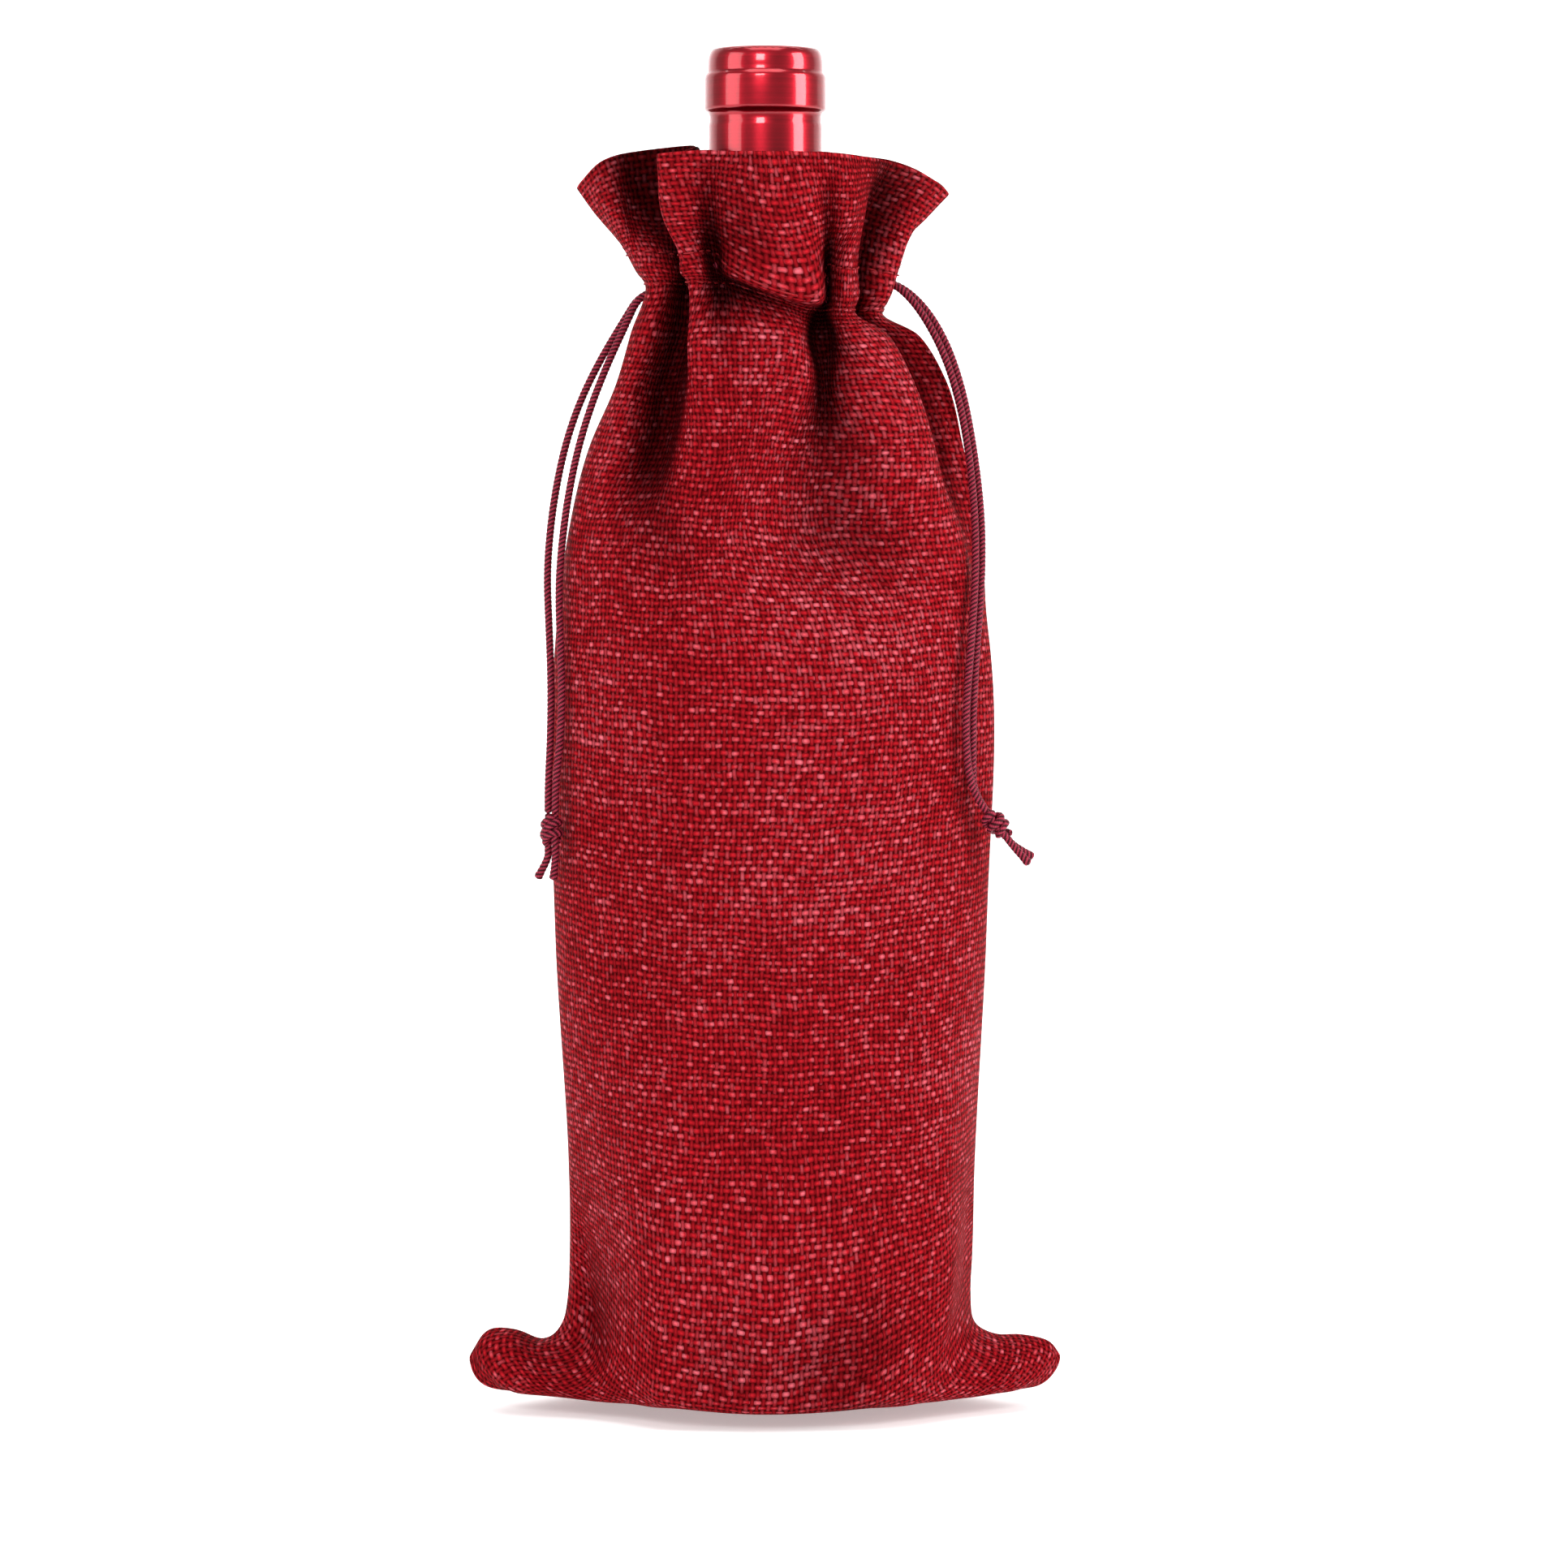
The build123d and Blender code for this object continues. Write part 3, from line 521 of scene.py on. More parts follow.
def sewing_thread(settings):
    """Matte spun thread."""
    g = Graph("sewing_thread")
    grain = g.noise(g.coords.outputs["Object"], 5200, 3, 0.6)
    mid = tuple(settings.mid)
    g.colour(g.ramp(grain, [(0.3, tuple(0.5 * c for c in mid)), (0.7, mid)]))
    g.bump(grain, 0.00006, 0.5)
    g.set(Roughness=0.7, Specular_IOR_Level=0.3)
    return g.material


def metallic_foil(settings):
    """Glossy red foil: polished, with faint rolling marks round the neck and tiny dents."""
    g = Graph("metallic_foil")
    place = g.split(g.coords.outputs["Object"])
    bands = g.noise(g.vector(g.calc("MULTIPLY", place[2], 900.0), 0.0), 1.0, 3, 0.7)
    dents = g.noise(g.coords.outputs["Object"], 190, 2, 0.5)
    base = tuple(settings.foil_colour)
    shade = tuple(0.72 * c for c in base)
    g.colour(g.mix(g.spread(bands, 0.35, 0.65), shade, base))
    g.plug(g.shader.inputs["Roughness"],
           g.spread(bands, 0.2, 0.8, settings.foil_roughness - 0.04, settings.foil_roughness + 0.07))
    g.bump(g.calc("ADD", g.calc("MULTIPLY", bands, 0.25), dents), 0.00012, 0.35)
    g.set(Metallic=0.9, Coat_Weight=0.9, Coat_Roughness=0.1)
    return g.material


def bottle_glass():
    """Dark green bottle glass."""
    g = Graph("bottle_glass")
    flow = g.noise(g.coords.outputs["Object"], 26, 2, 0.4)
    g.colour(g.ramp(flow, [(0.3, (0.012, 0.05, 0.014)), (0.7, (0.02, 0.085, 0.022))]))
    g.bump(flow, 0.0003, 0.12)
    g.set(Roughness=0.03, Transmission_Weight=1.0, IOR=1.52)
    return g.material


def red_wine():
    """Dark red wine."""
    g = Graph("red_wine")
    depth = g.noise(g.coords.outputs["Object"], 9, 2, 0.5)
    g.colour(g.ramp(depth, [(0.3, (0.07, 0.0, 0.010)), (0.7, (0.12, 0.002, 0.018))]))
    g.set(Roughness=0.05, Transmission_Weight=0.3, IOR=1.34, Specular_IOR_Level=0.06)
    return g.material


def natural_cork():
    """Pale cork with dark pores."""
    g = Graph("natural_cork")
    grain = g.noise(g.coords.outputs["Object"], 520, 5, 0.65)
    pores = g.noise(g.coords.outputs["Object"], 1100, 1, 0.4)
    body = g.ramp(grain, [(0.3, (0.36, 0.20, 0.10)), (0.7, (0.66, 0.44, 0.26))])
    g.colour(g.mix(g.spread(pores, 0.66, 0.72), body, (0.12, 0.055, 0.025)))
    g.bump(g.calc("SUBTRACT", grain, pores), 0.0004, 0.6)
    g.set(Roughness=0.85, Specular_IOR_Level=0.2)
    return g.material


def paint(piece, material):
    """Gives a piece its one material."""
    piece.data.materials.clear()
    piece.data.materials.append(material)


def stand_for(piece, node, body, material):
    """The piece is shown for a CAD node, moves with a body and takes the given material."""
    piece.name = piece.data.name = node + "_look"
    paint(piece, material)
    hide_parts(node)
    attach(piece, body)
    made[node] = piece


# ==================================================================================================
# Shape helpers
# ==================================================================================================
def smooth_line(controls, steps=16):
    """A dense line through given points, bending evenly at each."""
    p = np.array(controls, float)
    p = np.vstack([2 * p[0] - p[1], p, 2 * p[-1] - p[-2]])
    t = np.linspace(0, 1, steps, endpoint=False)[:, None]
    line = []
    for a, b, c, d in zip(p, p[1:], p[2:], p[3:]):
        line.append(0.5 * (2 * b + (c - a) * t + (2 * a - 5 * b + 4 * c - d) * t**2
                           + (3 * b - 3 * c + d - a) * t**3))
    return np.vstack([*line, p[-2][None]])


def evenly(line, count):
    """count + 1 points at equal distances along a line."""
    travelled = np.concatenate([[0], np.cumsum(np.linalg.norm(np.diff(line, axis=0), axis=1))])
    wanted = np.linspace(0, travelled[-1], count + 1)
    return np.stack([np.interp(wanted, travelled, line[:, k]) for k in range(line.shape[1])], 1)


def levelled(values, passes):
    """Values smoothed round the bag, from column to column."""
    for _ in range(passes):
        values = (np.roll(values, 1, 1) + 2 * values + np.roll(values, -1, 1)) / 4
    return values


def half_oval(left, right, depth, back=False):
    """The front or back half of an oval outline, between the side seams."""
    turn = np.linspace(0, math.pi, 200)
    x = 0.5 * (right - left) - 0.5 * (left + right) * np.cos(turn)
    line = np.stack([x, -depth * np.sin(turn)], 1)
    return np.stack([line[::-1, 0], -line[::-1, 1]], 1) if back else line


def marked(runs, marks):
    """Points round a line given in runs, evenly spaced within each, so that each run ends on its column."""
    line = smooth_line([point for run in runs for point in run])
    ends = 16 * (np.cumsum([len(run) for run in runs]) - 1)
    starts = [0, *ends[:-1]]
    spans = [evenly(line[a:b + 1], m - n)[:-1] for a, b, n, m in zip(starts, ends, marks, marks[1:])]
    return np.vstack([*spans, line[-1:]])


def ring(front, back, height):
    """A closed ring of points: the front from left to right, then the back from right to left."""
    halves = []
    for half in (front, back):
        in_runs = isinstance(half[0], list)
        points = marked(half, FRONT_MARKS) if in_runs else evenly(np.array(half, float), COLUMNS)
        points = points[:-1]
        if points.shape[1] == 2:
            z = height(points[:, 0]) if callable(height) else np.full(len(points), float(height))
            points = np.column_stack([points, z])
        halves.append(points)
    return np.vstack(halves)


def through(keys, at, wanted):
    """Positions at the wanted places along a column, smooth through its keys."""
    keys = np.array(keys)
    at = np.array(at, float)
    steps = np.diff(at)[:, None]
    slopes = np.diff(keys, axis=0) / steps
    tangents = np.vstack([slopes[:1], (slopes[:-1] * steps[1:] + slopes[1:] * steps[:-1])
                          / (steps[1:] + steps[:-1]), slopes[-1:]])
    i = np.clip(np.searchsorted(at, wanted, side="right") - 1, 0, len(at) - 2)
    h = steps[i]
    t = ((wanted - at[i]) / h[:, 0])[:, None]
    return ((2 * t**3 - 3 * t**2 + 1) * keys[i] + (t**3 - 2 * t**2 + t) * h * tangents[i]
            + (3 * t**2 - 2 * t**3) * keys[i + 1] + (t**3 - t**2) * h * tangents[i + 1])


def base_halves(left, right):
    """A base row's front and back, from its left and right front parts, the ears turned a little forwards."""
    front = smooth_line(left + right[1:])
    back = front[::-1] * (1, -1, 1)
    for half in (front, back):
        ear = np.clip((np.abs(half[:, 0]) - EAR_START) / EAR_TURN, 0, 1)
        ear = ear * ear * (3 - 2 * ear)
        half[:, 1] -= np.where(half[:, 0] < 0, LEFT_EAR_FORWARD, RIGHT_EAR_FORWARD) * ear
        half[:, 2] += np.clip(half[:, 2] - 1, 0, 4) * EAR_SWELL * ear
    return front, back


def folded_back(left, right, depth, share):
    """A back outline: a plain oval with a share of the cinched back's folds."""
    oval = evenly(half_oval(left, right, depth, back=True), COLUMNS)
    waist = evenly(smooth_line(BACK_CORD), COLUMNS)
    plain = evenly(half_oval(30.2, 30.2, 24.0, back=True), COLUMNS)
    return oval + share * (waist - plain)


def arranged_cloth():
    """The bag's cloth as hands would arrange it: rows of rings, and each row's place on the flat cloth."""
    def falling(height, sag):
        return lambda x: height - sag * np.clip(x + 4, -5, 14)

    back_cord = smooth_line(BACK_CORD)
    keys = [ring(*base_halves(left, right), 0) for _, left, right in BASE_ROWS]
    keys += [
        ring(smooth_line(FRONT_62), half_oval(51.4, 54.6, 38.9, True), 62),
        ring(half_oval(54.6, 57.4, 38.9), half_oval(54.6, 57.4, 38.9, True), 120),
        ring(half_oval(53.7, 57.2, 38.9), half_oval(53.7, 57.2, 38.9, True), 202),
        ring(FRONT_224, half_oval(50.8, 55.6, 38.2, True), 224),
        ring(FRONT_245, folded_back(45.5, 51.2, 35.4, 0.2), 245),
        ring(FRONT_262, folded_back(37.4, 46.6, 30.6, 0.45), 262),
        ring(FRONT_274, folded_back(33.6, 39.4, 27, 0.8), 274),
        ring(FRONT_CORD, back_cord, falling(CORD_Z, CORD_SAG)),
        ring(FRONT_CASING, 1.05 * back_cord, falling(CASING_Z, CORD_SAG)),
        ring(FRONT_WAIST, back_cord, falling(WAIST_Z, 0.5 * CORD_SAG)),
        ring(FRONT_303, smooth_line(BACK_303), 304),
        ring(FRONT_RIM, smooth_line(BACK_RIM), 0),
    ]
    keys = np.array(keys)
    last = len(BASE_ROWS) - 1                  # the base's uppermost ring
    channel = len(keys) - 5                    # the ring along the cord
    up, quads = np.array(ROWS, float).T
    places = np.interp(np.arange(quads[-1] + 1), quads, up)
    steps = np.linalg.norm(np.diff(keys, axis=0), axis=2)
    ats = np.concatenate([np.zeros((1, 2 * COLUMNS)), np.cumsum(steps, 0)])
    ats[last:channel + 1] -= ats[last].copy()
    ats[last:channel + 1] *= (CHANNEL_LOW - BASE_ROWS[-1][0]) / ats[channel]
    ats = levelled(ats, LEVELLING)
    ats[last:channel] += LEVEL_SHARE * (ats[last:channel].mean(1, keepdims=True) - ats[last:channel])
    ats[last:channel + 1] += BASE_ROWS[-1][0]
    ats[:last] = [[row[0]] for row in BASE_ROWS[:-1]]
    ruffle = np.cumsum(steps[channel:], 0)
    ruffle = levelled(ruffle / ruffle[-1], RUFFLE_LEVELLING)
    ats[channel + 1:] = CHANNEL_LOW + (FLAT_HEIGHT - CHANNEL_LOW) * ruffle
    cloth = np.array([through(keys[:, j], ats[:, j], places) for j in range(2 * COLUMNS)])
    cloth = cloth.transpose(1, 0, 2)
    soft = 0
    for height, across, along, start in SOFT_WAVES:
        soft += height * np.sin(across * cloth[:, :, 0] + along * cloth[:, :, 2] + start)
    soft *= np.clip((places - 50) / 40, 0, 1)[:, None] * np.clip((270 - places) / 40, 0, 1)[:, None]
    cloth[:, :, 1] *= 1 + soft / BODY_HALF_DEPTH
    cloth[:, :, 2] = np.maximum(cloth[:, :, 2], FLOOR_GAP)
    return cloth, places


def ring_faces(rows, count, closed=True):
    """Quads between neighbouring rows of points."""
    faces = []
    for i in range(rows - 1):
        for j in range(count if closed else count - 1):
            k = (j + 1) % count
            faces.append((i * count + j, i * count + k, (i + 1) * count + k, (i + 1) * count + j))
    return faces


def new_piece(name, points, faces, uvs=None, folds=None):
    """A smooth mesh piece from points in metres, with a UV and a painted fold shade for each point if given."""
    mesh = bpy.data.meshes.new(name)
    mesh.from_pydata([tuple(p) for p in points], [], faces)
    mesh.polygons.foreach_set("use_smooth", [True] * len(mesh.polygons))
    if uvs is not None:
        layer = mesh.uv_layers.new(name="weave")
        corners = np.zeros(len(mesh.loops), int)
        mesh.loops.foreach_get("vertex_index", corners)
        layer.data.foreach_set("uv", np.array(uvs, float)[corners].ravel())
    # Painted shade: each point's fold depth goes to the material, which darkens the colour by it.
    if folds is not None:
        mesh.attributes.new("fold_shade", "FLOAT", "POINT").data.foreach_set("value", np.ravel(folds))
    mesh.update()
    piece = bpy.data.objects.new(name, mesh)
    bpy.context.scene.collection.objects.link(piece)
    return piece


# ==================================================================================================
# Following the arranged cloth
# ==================================================================================================
class Surface:
    """The arranged cloth: any place on it, which way is outwards there, and how deep each point lies in a fold,
    for painted shade.
    """

    def __init__(self, grid, places):
        self.grid = grid
        self.places = places
        along = np.roll(grid, -1, 1) - np.roll(grid, 1, 1)
        up = np.gradient(grid, axis=0)
        out = np.cross(along, up)
        self.out = out / np.maximum(np.linalg.norm(out, axis=2, keepdims=True), 1e-9)
        # Painted shade: each point's depth below the outermost cloth beside it, near the base and near the neck,
        # darkens the cloth's colour there.
        reach = np.hypot(grid[:, :, 0], grid[:, :, 1])
        outermost = np.max([np.roll(reach, k, 1) - 0.3 * abs(k) for k in range(-11, 12)], axis=0)
        near_base = np.clip((places - 30) / 6, 0, 1) * np.clip((74 - places) / 20, 0, 1)
        near_neck = np.clip((places - 225) / 25, 0, 1)
        depth = np.clip((outermost - reach) / 9.5, 0, 1) * (near_base + near_neck)[:, None]
        self.fold_shade = levelled(depth, 2)[..., None]

    def sample(self, layer, column, place):
        """One of the layers between its points; column is counted round the bag, place up the cloth."""
        row = np.interp(place, self.places, np.arange(len(self.places)))
        i = np.minimum(np.floor(row).astype(int), len(self.places) - 2)
        t = (row - i)[..., None]
        j = np.floor(column).astype(int)
        s = (column - j)[..., None]
        count = self.grid.shape[1]
        low = layer[i, j % count] * (1 - s) + layer[i, (j + 1) % count] * s
        high = layer[i + 1, j % count] * (1 - s) + layer[i + 1, (j + 1) % count] * s
        return low * (1 - t) + high * t

    def at(self, column, place, lift=0.0):
        """Points in millimetres on the cloth, lifted outwards."""
        column, place = np.broadcast_arrays(np.asarray(column, float), np.asarray(place, float))
        return self.sample(self.grid, column, place) + lift * self.sample(self.out, column, place)


def cloth_layer(name, surface, columns, places, lift, thickness):
    """A layer of cloth that follows the arranged one, with its weave laid out flat in metres."""
    column, place = np.meshgrid(columns, places)
    points = surface.at(column, place, 0.0)
    lifts = np.asarray(lift(place) if callable(lift) else np.full(place.shape, lift))
    points = points + lifts[..., None] * surface.sample(surface.out, column, place)
    uv = np.stack([column * (2 * FLAT_HALF_WIDTH / COLUMNS), place], 2).reshape(-1, 2) * MM
    # Painted shade: the fold depth at each point, for darkening the colour in the folds.
    folds = surface.sample(surface.fold_shade, column, place)
    faces = ring_faces(len(places), len(columns), False)
    piece = new_piece(name, points.reshape(-1, 3) * MM, faces, uv, folds)
    solid = piece.modifiers.new("Thickness", "SOLIDIFY")
    solid.thickness = thickness
    solid.offset = -1
    solid.use_even_offset = False
    smooth = piece.modifiers.new("Smooth", "SUBSURF")
    smooth.levels = smooth.render_levels = 1
    smooth.boundary_smooth = "PRESERVE_CORNERS"
    for modifier in list(piece.modifiers):
        apply_modifier(piece, modifier)
    return piece


def apply_modifier(piece, modifier):
    """Applies one modifier of one piece."""
    bpy.ops.object.select_all(action="DESELECT")
    bpy.context.view_layer.objects.active = piece
    piece.select_set(True)
    bpy.ops.object.modifier_apply(modifier=modifier.name)


def stitch_rows(name, surface, ends, thickness, lift):
    """Short threads between pairs of places on the cloth, each arched and pulled in at its ends."""
    points, faces = [], []
    sides, rings = 6, 5
    for (c0, p0), (c1, p1) in ends:
        share = np.linspace(0, 1, rings)
        column, place = c0 + (c1 - c0) * share, p0 + (p1 - p0) * share
        out = surface.sample(surface.out, column, place)
        arch = np.sin(share * math.pi)
        line = surface.at(column, place) + out * (lift * arch - 0.35 * thickness * (1 - arch))[:, None]
        way = np.gradient(line, axis=0)
        way /= np.linalg.norm(way, axis=1, keepdims=True)
        side = np.cross(out, way)
        side /= np.linalg.norm(side, axis=1, keepdims=True)
        up = np.cross(way, side)
        width = 0.5 * thickness * (0.35 + 0.65 * arch)
        first = len(points)
        for k in range(rings):
            for n in range(sides):
                turn = 2 * math.pi * n / sides
                points.append(line[k] + width[k] * (math.cos(turn) * side[k] + math.sin(turn) * up[k]))
        for k in range(rings - 1):
            for n in range(sides):
                a, b = first + k * sides + n, first + k * sides + (n + 1) % sides
                faces.append((a, b, b + sides, a + sides))
        faces.append(tuple(first + n for n in reversed(range(sides))))
        faces.append(tuple(first + (rings - 1) * sides + n for n in range(sides)))
    return new_piece(name, np.array(points) * MM, faces)


# ==================================================================================================
# Cords
# ==================================================================================================
def nurbs_line(name, points, steps=24):
    """Evenly read points of a NURBS curve through a route, in metres."""
    curve = bpy.data.curves.new(name, "CURVE")
    curve.dimensions = "3D"
    spline = curve.splines.new("NURBS")
    spline.points.add(len(points) - 1)
    for target, point in zip(spline.points, points):
        target.co = (*point, 1)
    spline.order_u = 3
    spline.use_endpoint_u = True
    spline.resolution_u = steps
    guide = bpy.data.objects.new(name, curve)
    bpy.context.scene.collection.objects.link(guide)
    mesh = bpy.data.meshes.new_from_object(guide)
    line = np.array([v.co for v in mesh.vertices], float)
    bpy.data.objects.remove(guide)
    bpy.data.meshes.remove(mesh)
    return line


def respaced(line, step):
    """The same line with points at even distances."""
    length = np.linalg.norm(np.diff(line, axis=0), axis=1).sum()
    return evenly(line, max(2, int(round(length / step))))


def twisted_tube(name, line, lay, radius=CORD_RADIUS, widths=None, closed=False, sides=18, lobes=3):
    """A cord of three twisted strands along a line, its ends rounded."""
    count = len(line)
    way = np.gradient(line, axis=0)
    if closed:
        way = np.roll(line, -1, 0) - np.roll(line, 1, 0)
    way /= np.linalg.norm(way, axis=1, keepdims=True)
    side = np.cross(way[0], (0.31, 0.87, 0.38))
    side /= np.linalg.norm(side)
    steps = np.linalg.norm(np.diff(line, axis=0), axis=1)
    travelled = np.concatenate([[0], np.cumsum(steps)])
    if widths is None:
        widths = np.ones(count)
    if not closed:
        near_end = np.minimum(travelled, travelled[-1] - travelled) / (0.75 * radius)
        widths = widths * np.sqrt(np.clip(1 - (1 - np.clip(near_end, 0.0, 1)) ** 2, 0.06, 1))
    points, uvs = [], []
    for k in range(count):
        side = side - way[k] * side.dot(way[k])
        side /= np.linalg.norm(side)
        up = np.cross(way[k], side)
        twist = 2 * math.pi * travelled[k] / lay
        for n in range(sides):
            turn = 2 * math.pi * n / sides
            relief = 0.80 + 0.20 * abs(math.cos(0.5 * lobes * (turn - twist))) ** 0.7
            out = math.cos(turn) * side + math.sin(turn) * up
            points.append(line[k] + radius * widths[k] * relief * out)
            uvs.append((n / sides, travelled[k]))
    faces = ring_faces(count, sides)
    if closed:
        last = (count - 1) * sides
        faces += [(last + n, last + (n + 1) % sides, (n + 1) % sides, n) for n in range(sides)]
    else:
        faces.append(tuple(reversed(range(sides))))
        faces.append(tuple(range((count - 1) * sides, count * sides)))
    return new_piece(name, points, faces, uvs)


def joined(name, tubes):
    """Several tubes made into one piece."""
    bpy.ops.object.select_all(action="DESELECT")
    for tube in tubes:
        tube.select_set(True)
    bpy.context.view_layer.objects.active = tubes[0]
    if len(tubes) > 1:
        bpy.ops.object.join()
    piece = bpy.context.view_layer.objects.active
    piece.name = piece.data.name = name
    return piece


def knot_frame(side):
    """Top, way down, and the two directions across a knot."""
    pull = PULLS[side]
    top, way = Vector(pull["top"]), Vector(pull["way"]).normalized()
    split = Vector(pull["split"]).normalized()
    across = (split - way * split.dot(way)).normalized()
    return top, way, across, way.cross(across)


def strand_points(name):
    """A hanging end's route, with its straight entry into the knot."""
    data = STRANDS[name]
    top, way, across, _ = knot_frame(data["side"])
    end = top + across * (data["sign"] * SPLIT)
    exit_x, exit_y, exit_z = data["route"][0]
    inside = (0.9 * exit_x, exit_y, exit_z)
    straight = end - way * PULLS[data["side"]]["run"]
    return [inside] + data["route"] + [tuple(straight), tuple(end + way * 0.0004)]


def tight_knot(side, lay, seed):
    """An overhand knot tied in both ends at once: a slanted double collar over the two ends."""
    top, way, across, over = knot_frame(side)
    tubes = []
    inset = 0.00155
    for half in (0, 1):
        line = []
        for share in np.linspace(0, 1, 90):
            turn = 2 * math.pi * (1.36 * share) + math.pi * half + seed
            swell = math.sin(math.pi * share)
            reach = 0.0013 + 0.00085 * swell ** 0.6
            depth = inset + (KNOT_LENGTH - 2 * inset) * (share + 0.055 * math.sin(4 * math.pi * share + seed))
            tilt = 0.0009 * math.cos(turn - 0.6)
            spot = top + way * (depth + tilt) + across * (reach * math.cos(turn))
            line.append(tuple(spot + over * (reach * math.sin(turn))))
        tubes.append(twisted_tube("knot_turn", respaced(np.array(line), 0.0004), lay))
    for sign in (-1, 1):
        start = top + across * (sign * SPLIT)
        line = [tuple(start + way * (KNOT_LENGTH * t) + over * (0.0003 * sign * math.sin(math.pi * t)))
                for t in np.linspace(0.03, 0.97, 24)]
        tubes.append(twisted_tube("knot_core", np.array(line), lay))
    return joined(side + "_knot", tubes)


def cut_tails(side, lay):
    """The two short ends under a knot, with flared, melted tips."""
    top, way, across, _ = knot_frame(side)
    tubes = []
    for sign, lean in zip((-1, 1), PULLS[side]["leans"]):
        start = top + way * KNOT_LENGTH + across * (sign * SPLIT)
        bend = start + way * 0.0024
        end = bend + way * 0.0042 + Vector(lean)
        tip = end + (end - bend).normalized() * 0.0014
        points = [start - way * 0.001, start, bend, end, tip]
        line = respaced(nurbs_line("tail", [tuple(p) for p in points]), 0.00025)
        share = np.linspace(0, 1, len(line))
        widths = 1 + 0.16 * np.clip((share - 0.72) / 0.2, 0, 1)
        tubes.append(twisted_tube("tail", line, lay, widths=widths))
    return joined(side + "_tails", tubes)


# ==================================================================================================
# Operators
# ==================================================================================================
class GIFTBAG_OT_camera(Operator):
    """Place the camera"""

    bl_idname = "giftbag.camera"
    bl_label = "Place camera"

    def execute(self, context):
        settings = context.scene.giftbag_stage
        camera = bpy.data.objects.new("camera", bpy.data.cameras.new("camera"))
        context.scene.collection.objects.link(camera)
        camera.data.lens = settings.lens
        camera.data.sensor_width = 36
        camera.location = (0.0048, -settings.distance, settings.height)
        camera.rotation_euler = (math.pi / 2 - settings.tilt, 0, 0)
        context.scene.camera = camera
        return {"FINISHED"}


class GIFTBAG_OT_drawstrings(Operator):
    """Lay the hanging ends of both drawstrings, with their knots and cut tips"""

    bl_idname = "giftbag.drawstrings"
    bl_label = "Lay drawstrings"

    def execute(self, context):
        settings = context.scene.giftbag_cord
        made["cord_material"] = drawstring_cord(settings)
        lay = settings.lay_length
        ends = {}
        for side, seed in (("left", 0.5), ("right", 2.2)):
            ends[side] = [tight_knot(side, lay, seed), cut_tails(side, lay)]
            for piece, node in zip(ends[side], (side + "_knot", side + "_tails")):
                stand_for(piece, node, side + "_pull", made["cord_material"])
        for name, data in STRANDS.items():
            line = respaced(nurbs_line(name, strand_points(name)), 0.0002)
            strand = twisted_tube(name, line, lay)
            stand_for(strand, name, data["side"] + "_pull", made["cord_material"])
            length = float(np.linalg.norm(np.diff(line, axis=0), axis=1).sum())
            print(name, "length", round(length, 4))
        return {"FINISHED"}


class GIFTBAG_OT_panels(Operator):
    """Arrange the woven cloth and make the two panels"""

    bl_idname = "giftbag.panels"
    bl_label = "Make panels"

    def execute(self, context):
        settings = context.scene.giftbag_cloth
        grid, places = arranged_cloth()
        surface = Surface(grid, places)
        made["surface"] = surface
        made["cloth_material"] = woven_cloth(settings)
        thickness = settings.thickness
        for name, first in (("front_panel", 0), ("back_panel", COLUMNS)):
            columns = np.arange(first, first + COLUMNS + 1)
            panel = cloth_layer(name, surface, columns, places, 0.0, thickness)
            stand_for(panel, name, "bag", made["cloth_material"])
        return {"FINISHED"}


class GIFTBAG_OT_linings(Operator):
    """Make the folded-in facings and the side seams' allowances"""

    bl_idname = "giftbag.linings"
    bl_label = "Make facings and seams"

    def execute(self, context):
        settings = context.scene.giftbag_cloth
        surface = made["surface"]
        thickness = settings.thickness
        middle = 0.5 * (CHANNEL_LOW + CHANNEL_HIGH)

        def facing_lift(place):
            channel = np.clip(1.2 - np.abs(place - middle) / 5.5, 0, 1)
            return -LINING_GAP - 1.3 * channel

        places = np.concatenate([np.linspace(CHANNEL_LOW - 4, CHANNEL_HIGH + 2, 14),
                                 np.linspace(CHANNEL_HIGH + 5, FLAT_HEIGHT - 0.4, 12)])
        seam_places = np.linspace(6, CHANNEL_LOW - 2, 70)
        strips = {
            "front_facing": (np.arange(0, COLUMNS + 1), places, facing_lift),
            "back_facing": (np.arange(COLUMNS, 2 * COLUMNS + 1), places, facing_lift),
            "left_side_seam": (np.arange(-3, 4), seam_places, -1.0),
            "right_side_seam": (np.arange(COLUMNS - 3, COLUMNS + 4), seam_places, -1.0),
        }
        for name, (columns, strip_places, lift) in strips.items():
            strip = cloth_layer(name, surface, columns, strip_places, lift, thickness)
            stand_for(strip, name, "bag", made["cloth_material"])
        return {"FINISHED"}


class GIFTBAG_OT_channel_cords(Operator):
    """Run both drawstrings through the channel"""

    bl_idname = "giftbag.channel_cords"
    bl_label = "Run channel cords"

    def execute(self, context):
        settings = context.scene.giftbag_cord
        surface = made["surface"]
        for name, start, place in (("left_channel_cord", 0, 317.2), ("right_channel_cord", COLUMNS, 321.6)):
            column = start + np.linspace(0.6, 2 * COLUMNS - 0.6, 360)
            line = surface.at(column, np.full(column.shape, place), -1.85)
            for _ in range(6):
                line[1:-1] = 0.25 * line[:-2] + 0.5 * line[1:-1] + 0.25 * line[2:]
            cord = twisted_tube(name, respaced(line * MM, 0.0006), settings.lay_length, radius=0.0009)
            stand_for(cord, name, "bag", made["cord_material"])
        return {"FINISHED"}


